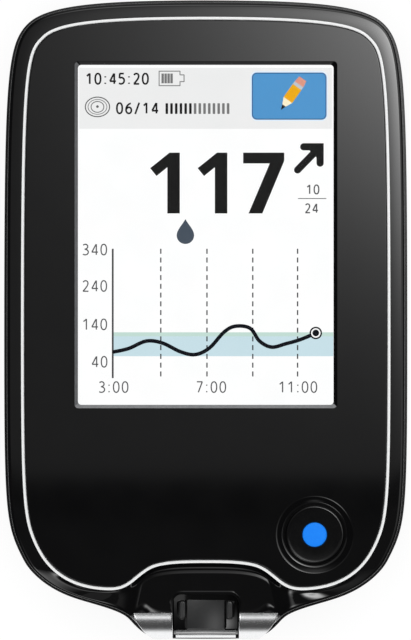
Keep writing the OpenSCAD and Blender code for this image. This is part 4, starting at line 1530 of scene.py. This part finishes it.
    def header(self) -> None:
        """Adds the grey strip with a clock, a battery sign and a row of days left."""
        self.box("header_strip", HEADER_GREY, 0.25, 37.75, 0.35, 9.4, Layer.FIELD)
        self.number("header_ink", INK, "10:45:20", 1.15, 2.87, 1.8, 0.27, Layer.LINE, 0.15)
        battery = [(12.1, 0.85), (15.2, 0.85), (15.2, 1.4), (15.8, 1.4), (15.8, 2.4),
                   (15.2, 2.4), (15.2, 3.0), (12.1, 3.0), (12.1, 0.85)]
        for a, b in zip(battery, battery[1:]):
            ends = np.array([a, b], float)
            self.stroke("battery_line", CELL_GREY, ends, 0.14, Layer.LINE, True)
        for cell in range(4):
            u = 12.45 + 0.44 * cell
            self.box("battery_cells", CELL_GREY, u, u + 0.36, 1.2, 2.65, Layer.LINE)
        a = np.linspace(0, 2 * np.pi, 61)
        for rx, ry, w in ((1.8, 1.45, 0.16), (1.4, 1.1, 0.1), (0.95, 0.8, 0.13)):
            ring = np.column_stack([2.95 + rx * np.cos(a), 6.15 + ry * np.sin(a)])
            self.stroke("round_icon", ICON_GREY, ring, w, Layer.LINE)
        self.plate("round_icon", ICON_GREY, circle(0.2, *self.on_page([(2.95, 6.1)])[0], 20),
                   Layer.LINE)
        self.number("header_ink", INK, "06/14", 5.7, 7.25, 1.8, 0.27, Layer.LINE, 0.16)
        for day in range(14):
            u = 13.05 + 0.7 * day
            finish, name = (INK, "days_gone") if day < 6 else (CELL_GREY, "days_left")
            self.box(name, finish, u, u + 0.38, 5.6, 7.2, Layer.LINE, 0.1)

    def key(self) -> None:
        """Adds the blue key with a pencil on it."""
        self.box("key_halo", KEY_HALO, 25.65, 37.15, 0.85, 8.25, Layer.GRID, 0.95)
        self.box("key_edge", KEY_EDGE, 25.85, 36.95, 1.05, 8.05, Layer.LINE, 0.75)
        self.box("key_face", KEY_BLUE, 26.02, 36.78, 1.22, 7.88, Layer.MARK, 0.6)
        tip, end = np.array([30.2, 6.55]), np.array([33.5, 1.9])
        along = (end - tip) / np.linalg.norm(end - tip)
        across = np.array([-along[1], along[0]])
        half = 0.78
        for part, finish, a, b, wa, wb in (
                ("lead", INK, 0, 0.75, 0.04, 0.3),
                ("wood", PENCIL_PALE, 0.75, 1.75, 0.3, half),
                ("body", PENCIL_GOLD, 1.75, 4.1, half, half),
                ("ferrule", PENCIL_BAND, 4.1, 4.6, half, half),
                ("rubber", PENCIL_PINK, 4.6, 5.6, half, half * 0.8)):
            corners = [tip + along * a + across * wa, tip + along * b + across * wb,
                       tip + along * b - across * wb, tip + along * a - across * wa]
            self.plate(f"pencil_{part}", finish, self.on_page(corners), Layer.TOP)

    def reading(self) -> None:
        """Adds the large reading, the arrow, a small fraction and a drop."""
        foot = 21.96
        for u, outline in ((10.77, BOLD_ONE), (17.82, BOLD_ONE), (24.57, BOLD_SEVEN)):
            ring = np.array([(u, foot)]) + np.array(outline) * [1, -1]
            self.plate("reading", INK, self.on_page(ring), Layer.LINE)
        corner = (35.99, 12.07)
        for end in ((32.65, 15.5), (33.56, 12.07), (35.99, 14.49)):
            self.stroke("arrow", INK, np.array([end, corner]), 1.07, Layer.LINE, True)
        for ring in ([(34.2, 11.54), (36.52, 11.54), (36.52, 13.9)],
                     [(34.3, 12.5), (35.9, 12.2), (35.6, 13.8)]):
            self.plate("arrow_head", INK, self.on_page(ring), Layer.MARK)
        self.number("unit_mark", INK_SOFT, "10", 33.9, 19.15, 1.5, 0.2, Layer.LINE, 0.16)
        self.stroke("unit_mark", INK_SOFT, np.array([(32.7, 19.75), (36.9, 19.75)]), 0.12,
                    Layer.LINE)
        self.number("unit_mark", INK_SOFT, "24", 33.7, 21.95, 1.5, 0.2, Layer.LINE, 0.16)
        drop = curve([Knot(16.0, -22.8, -62, 0, 0.9, 6), Knot(17.3, -25.2, -90, 0.8, 0.7, 6),
                      Knot(16.0, -26.5, 180, 0.75, 0.75, 6), Knot(14.7, -25.2, 90, 0.7, 0.8, 6),
                      Knot(16.0, -22.8, 62, 0.9)], 1)
        self.plate("drop", SLATE, self.on_page(drop * [1, -1]), Layer.LINE)

    def graph(self) -> None:
        """Adds the graph: axis, numbers, dashed lines, target band, trace and marker."""
        self.box("target_band", BAND_BLUE, 5.3, 37.95, 40.2, 43.15, Layer.FIELD)
        self.box("target_edge", BAND_GREEN, 5.3, 37.95, 39.6, 40.2, Layer.FIELD)
        self.stroke("axis", RULE_GREY, np.array([(5.22, 27.2), (5.22, 46.4)]), 0.27, Layer.GRID)
        for text, v in (("340", 28.2), ("240", 33.6), ("140", 39.3), ("40", 44.85)):
            width = 3.92 if len(text) == 3 else 2.52
            self.number("scale", INK_SOFT, text, 4.6 - width, v, 1.75, 0.19, Layer.LINE, 0.2)
        for u in (12.35, 19.2, 26.0, 32.65):
            for v in np.arange(27.2, 45.9, 1.3):
                ends = np.array([(u, v), (u, v + 0.75)])
                self.stroke("dashes", RULE_GREY, ends, 0.2, Layer.GRID)
        for text, u in (("3:00", 3.1), ("7:00", 17.6), ("11:00", 29.8)):
            self.number("scale", INK_SOFT, text, u, 48.6, 1.75, 0.19, Layer.LINE, 0.18)
        knots = [(5.4, 42.5), (7.6, 42.0), (10.2, 40.9), (12.6, 41.2), (15.3, 42.5),
                 (17.5, 42.9), (19.6, 41.9), (21.7, 39.6), (23.4, 38.7), (25.6, 39.0),
                 (27.0, 40.9), (28.8, 41.8), (30.9, 41.3), (33.0, 40.7), (35.3, 39.75)]
        self.stroke("trace", TRACE, through(knots, 6), 0.56, Layer.LINE, True)
        u, v = self.on_page([(35.35, 39.7)])[0]
        self.plate("marker_rim", TRACE, circle(0.93, u, v, 40), Layer.MARK)
        self.plate("marker_gap", PAGE_WHITE, circle(0.7, u, v, 40), Layer.TOP)
        self.plate("marker_dot", TRACE, circle(0.5, u, v, 30), Layer.DOT)


def through(points: Sequence[tuple[float, float]], steps: int) -> Array:
    """A smooth line through the points.

    Each span is 0.5 (2b + (c - a) t + (2a - 5b + 4c - d) t^2 + (3b - a - 3c + d) t^3),
    where b and c are its two points, and a and d their outer neighbours.

    Args:
        points: the points in order.
        steps: how many points stand for each span.

    Returns:
        The points of the line, one row each.
    """
    p = np.array([points[0], *points, points[-1]], float)
    t = (np.arange(steps) / steps)[None, :, None]
    a, b, c, d = (p[i:len(p) - 3 + i, None] for i in range(4))
    spans = 0.5 * (2 * b + (c - a) * t + (2 * a - 5 * b + 4 * c - d) * t**2
                   + (3 * b - a - 3 * c + d) * t**3)
    return np.concatenate([spans.reshape(-1, 2), [points[-1]]])


# ---- what stays as packed ---------------------------------------------------------------------


class Inside:
    """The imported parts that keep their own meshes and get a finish."""

    def build(self) -> None:
        """Dresses each part that nothing stands for."""
        for node, finish in INNER_FINISHES.items():
            dress(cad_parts[node], finish)
            LOG.info("%s keeps its mesh, in %s", node, finish.name)


# ---- the studio ---------------------------------------------------------------------------------


@dataclass(frozen=True)
class Lobe:
    """A soft light of the world that only glossy surfaces show.

    It adds strength * exp(sharpness * (cosine to the direction - 1)).
    """

    azimuth: float
    lean: float
    sharpness: float
    strength: float

    @property
    def towards(self) -> Array:
        """The unit vector to the light, from its azimuth and its lean off the upright."""
        tilt = math.radians(self.lean)
        return np.array([*(direction(self.azimuth) * math.sin(tilt)), math.cos(tilt)])


LOBES = (Lobe(-90, 23, 150.0, 0.45), Lobe(-112, 23, 150.0, 2.2), Lobe(-126, 23, 150.0, 4.5),
         Lobe(-90, 40, 60.0, 0.05), Lobe(-90, 90, 55.0, 0.85), Lobe(40, 27, 20.0, 3.0),
         Lobe(90, 23, 150.0, 2.5), Lobe(90, 60, 20.0, 0.8))


def maths(tree: bpy.types.NodeTree, kind: str, a: object,
          b: object = 0.0) -> bpy.types.NodeSocket:
    """Adds a maths node.

    Args:
        tree: the nodes that it joins.
        kind: its operation.
        a: its first value, a number or a socket.
        b: its second value, a number or a socket.

    Returns:
        The result's socket.
    """
    node = tree.nodes.new("ShaderNodeMath")
    node.operation = kind
    for socket, value in zip(node.inputs, (a, b)):
        if isinstance(value, (int, float)):
            socket.default_value = value
        else:
            tree.links.new(value, socket)
    return node.outputs[0]


def join_shaders(tree: bpy.types.NodeTree, share: bpy.types.NodeSocket,
                 first: bpy.types.Node, second: bpy.types.Node, output: str) -> None:
    """Leads a mix of two shaders to the output.

    Args:
        tree: the nodes.
        share: the second shader's share.
        first: the first shader.
        second: the second shader.
        output: name of the output node.
    """
    mix = tree.nodes.new("ShaderNodeMixShader")
    tree.links.new(share, mix.inputs["Fac"])
    tree.links.new(first.outputs[0], mix.inputs[1])
    tree.links.new(second.outputs[0], mix.inputs[2])
    tree.links.new(mix.outputs[0], tree.nodes[output].inputs["Surface"])


@dataclass
class Studio:
    """A pale floor, a soft even light, a graded card overhead and the camera.

    The camera is as far off as other views allow: they keep its lens and clip at 100 times
    the object's radius, which a camera higher than about 2900 mm would pass.
    """

    face_z: float = 16.0
    camera_height: float = 2600.0
    frame_h: float = 95.22
    centre_x: float = -0.037
    centre_y: float = -0.075
    silhouette_z: float = 6.6
    floor_half: float = 3000.0
    floor_drop: float = 0.02
    paper: float = 0.85
    seen_paper: float = 0.2
    seen_glow: float = 0.85
    card_height: float = 500.0
    card_half: float = 130.0
    card_rest: float = 0.28
    card_peak: float = 12.0
    peak: tuple[float, float] = (80.0, 60.0)
    spread: tuple[float, float] = (3100.0, 1517.0)
    split_y: float = -23.5
    split_soft: float = 0.8
    low_rest: float = 0.05
    foot_y: float = -30.0
    foot_extra: float = 0.035
    world_rest: float = 0.05

    def build(self) -> None:
        """Makes the floor, the card, the world and the camera."""
        self.floor()
        self.card()
        self.world()
        self.camera()
        bpy.context.scene.view_settings.view_transform = "Standard"

    def sheet(self, name: str, half: float, z: float, face: tuple[int, ...],
              finish: str) -> tuple[bpy.types.Object, bpy.types.NodeTree]:
        """Adds a square sheet that isn't part of the object.

        Args:
            name: name of the sheet.
            half: half its width.
            z: its height.
            face: its corners in order, which says where it faces.
            finish: name of its material.

        Returns:
            The sheet, and the nodes of its material, which have an output alone.
        """
        corners = [(-half, -half, z), (half, -half, z), (half, half, z), (-half, half, z)]
        thing = placed(name, np.array(corners), [face])
        made = bpy.data.materials.new(finish)
        made.use_nodes = True
        made.node_tree.nodes.remove(made.node_tree.nodes["Principled BSDF"])
        thing.data.materials.append(made)
        return thing, made.node_tree

    def floor(self) -> None:
        """Makes the floor: white behind the object, with its shadow kept."""
        tree = self.sheet("floor", self.floor_half, -self.floor_drop, (0, 1, 2, 3),
                          "floor_pale")[1]
        nodes, links = tree.nodes, tree.links
        paper, seen = nodes.new("ShaderNodeBsdfDiffuse"), nodes.new("ShaderNodeBsdfDiffuse")
        for shader, tone in ((paper, self.paper), (seen, self.seen_paper)):
            shader.inputs["Color"].default_value = (tone, tone, tone, 1)
        glow, both = nodes.new("ShaderNodeEmission"), nodes.new("ShaderNodeAddShader")
        glow.inputs["Strength"].default_value = self.seen_glow
        links.new(seen.outputs[0], both.inputs[0])
        links.new(glow.outputs[0], both.inputs[1])
        rays = nodes.new("ShaderNodeLightPath").outputs
        either = maths(tree, "MAXIMUM", rays["Is Camera Ray"], rays["Is Glossy Ray"])
        either = maths(tree, "MAXIMUM", either, rays["Is Transmission Ray"])
        join_shaders(tree, either, paper, both, "Material Output")

    def card(self) -> None:
        """Makes the card that the face mirrors.

        Over the face point (x, y) it glows by card_rest + card_peak exp(-((x - px)^2 / sx +
        (y - py)^2 / sy)) above the split, where (px, py) is the peak and (sx, sy) the
        spread. Below the split it glows by low_rest, and by foot_extra more past foot_y.
        Its own places are the face's, spread by its height over the camera's.
        """
        card, tree = self.sheet("card", self.card_half, self.face_z + self.card_height,
                                (0, 3, 2, 1), "card_glow")
        place = tree.nodes.new("ShaderNodeTexCoord").outputs["Object"]
        parts = tree.nodes.new("ShaderNodeSeparateXYZ")
        tree.links.new(place, parts.inputs[0])
        face = 1 / ((1 + self.card_height / self.camera_height) * MM)
        places = [maths(tree, "MULTIPLY", parts.outputs[axis], face) for axis in "XY"]
        reach: object = 0.0
        for at, peak, spread in zip(places, self.peak, self.spread):
            off = maths(tree, "SUBTRACT", at, peak)
            square = maths(tree, "MULTIPLY", off, off)
            reach = maths(tree, "ADD", reach, maths(tree, "DIVIDE", square, spread))
        fall = maths(tree, "EXPONENT", maths(tree, "MULTIPLY", reach, -1.0))
        upper = maths(tree, "ADD", maths(tree, "MULTIPLY", fall, self.card_peak),
                      self.card_rest)
        past = maths(tree, "LESS_THAN", places[1], self.foot_y)
        lower = maths(tree, "ADD", self.low_rest,
                      maths(tree, "MULTIPLY", past, self.foot_extra))
        ramp = tree.nodes.new("ShaderNodeMapRange")
        ramp.interpolation_type = "SMOOTHSTEP"
        for socket, value in (("From Min", self.split_y - self.split_soft),
                              ("From Max", self.split_y + self.split_soft),
                              ("To Min", 0.0), ("To Max", 1.0)):
            ramp.inputs[socket].default_value = value
        tree.links.new(places[1], ramp.inputs["Value"])
        shade = ramp.outputs["Result"]
        rest = maths(tree, "MULTIPLY", lower, maths(tree, "SUBTRACT", 1.0, shade))
        total = maths(tree, "ADD", maths(tree, "MULTIPLY", upper, shade), rest)
        glow = tree.nodes.new("ShaderNodeEmission")
        tree.links.new(total, glow.inputs["Strength"])
        tree.links.new(glow.outputs[0], tree.nodes["Material Output"].inputs["Surface"])
        card.visible_camera = False
        card.visible_diffuse = False
        card.visible_transmission = False
        card.visible_shadow = False

    def world(self) -> None:
        """Makes the world: even white light, and a darker studio in glossy surfaces."""
        world = bpy.data.worlds.new("studio")
        bpy.context.scene.world = world
        world.use_nodes = True
        tree = world.node_tree
        even = tree.nodes["Background"]
        even.inputs["Color"].default_value = (1, 1, 1, 1)
        even.inputs["Strength"].default_value = 1.0
        mirrored_world = tree.nodes.new("ShaderNodeBackground")
        way = tree.nodes.new("ShaderNodeTexCoord").outputs["Generated"]
        total: object = self.world_rest
        for lobe in LOBES:
            dot = tree.nodes.new("ShaderNodeVectorMath")
            dot.operation = "DOT_PRODUCT"
            tree.links.new(way, dot.inputs[0])
            dot.inputs[1].default_value = tuple(lobe.towards)
            away = maths(tree, "SUBTRACT", dot.outputs["Value"], 1.0)
            fall = maths(tree, "EXPONENT", maths(tree, "MULTIPLY", away, lobe.sharpness))
            total = maths(tree, "ADD", total, maths(tree, "MULTIPLY", fall, lobe.strength))
        tree.links.new(total, mirrored_world.inputs["Strength"])
        glossy = tree.nodes.new("ShaderNodeLightPath").outputs["Is Glossy Ray"]
        join_shaders(tree, glossy, even, mirrored_world, "World Output")

    def camera(self) -> None:
        """Makes the camera, straight above the face.

        The lens is sensor * distance / frame height, with the distance counted from the
        height of the silhouette.
        """
        data = bpy.data.cameras.new("camera")
        camera = bpy.data.objects.new("camera", data)
        bpy.context.scene.collection.objects.link(camera)
        top = self.face_z + self.camera_height
        data.lens = data.sensor_width * (top - self.silhouette_z) / self.frame_h
        data.clip_start, data.clip_end = 0.05, 20.0
        camera.location = (self.centre_x * MM, self.centre_y * MM, top * MM)
        bpy.context.scene.camera = camera


# ---- the whole ---------------------------------------------------------------------------------


def main() -> None:
    """Builds the meter and the studio."""
    logging.basicConfig(level=logging.INFO, format="%(name)s: %(message)s")
    low, high = node_box("rear_cover")
    outlines = Outlines(half_w=float(high[0]), half_l=float(high[1]))
    RearCover(outlines).build()
    FrontShell(outlines).build()
    Face(outlines).build()
    HomeButton().build()
    StripPort(outlines).build()
    Display().build()
    Inside().build()
    Studio().build()


if __name__ == "__main__":
    main()
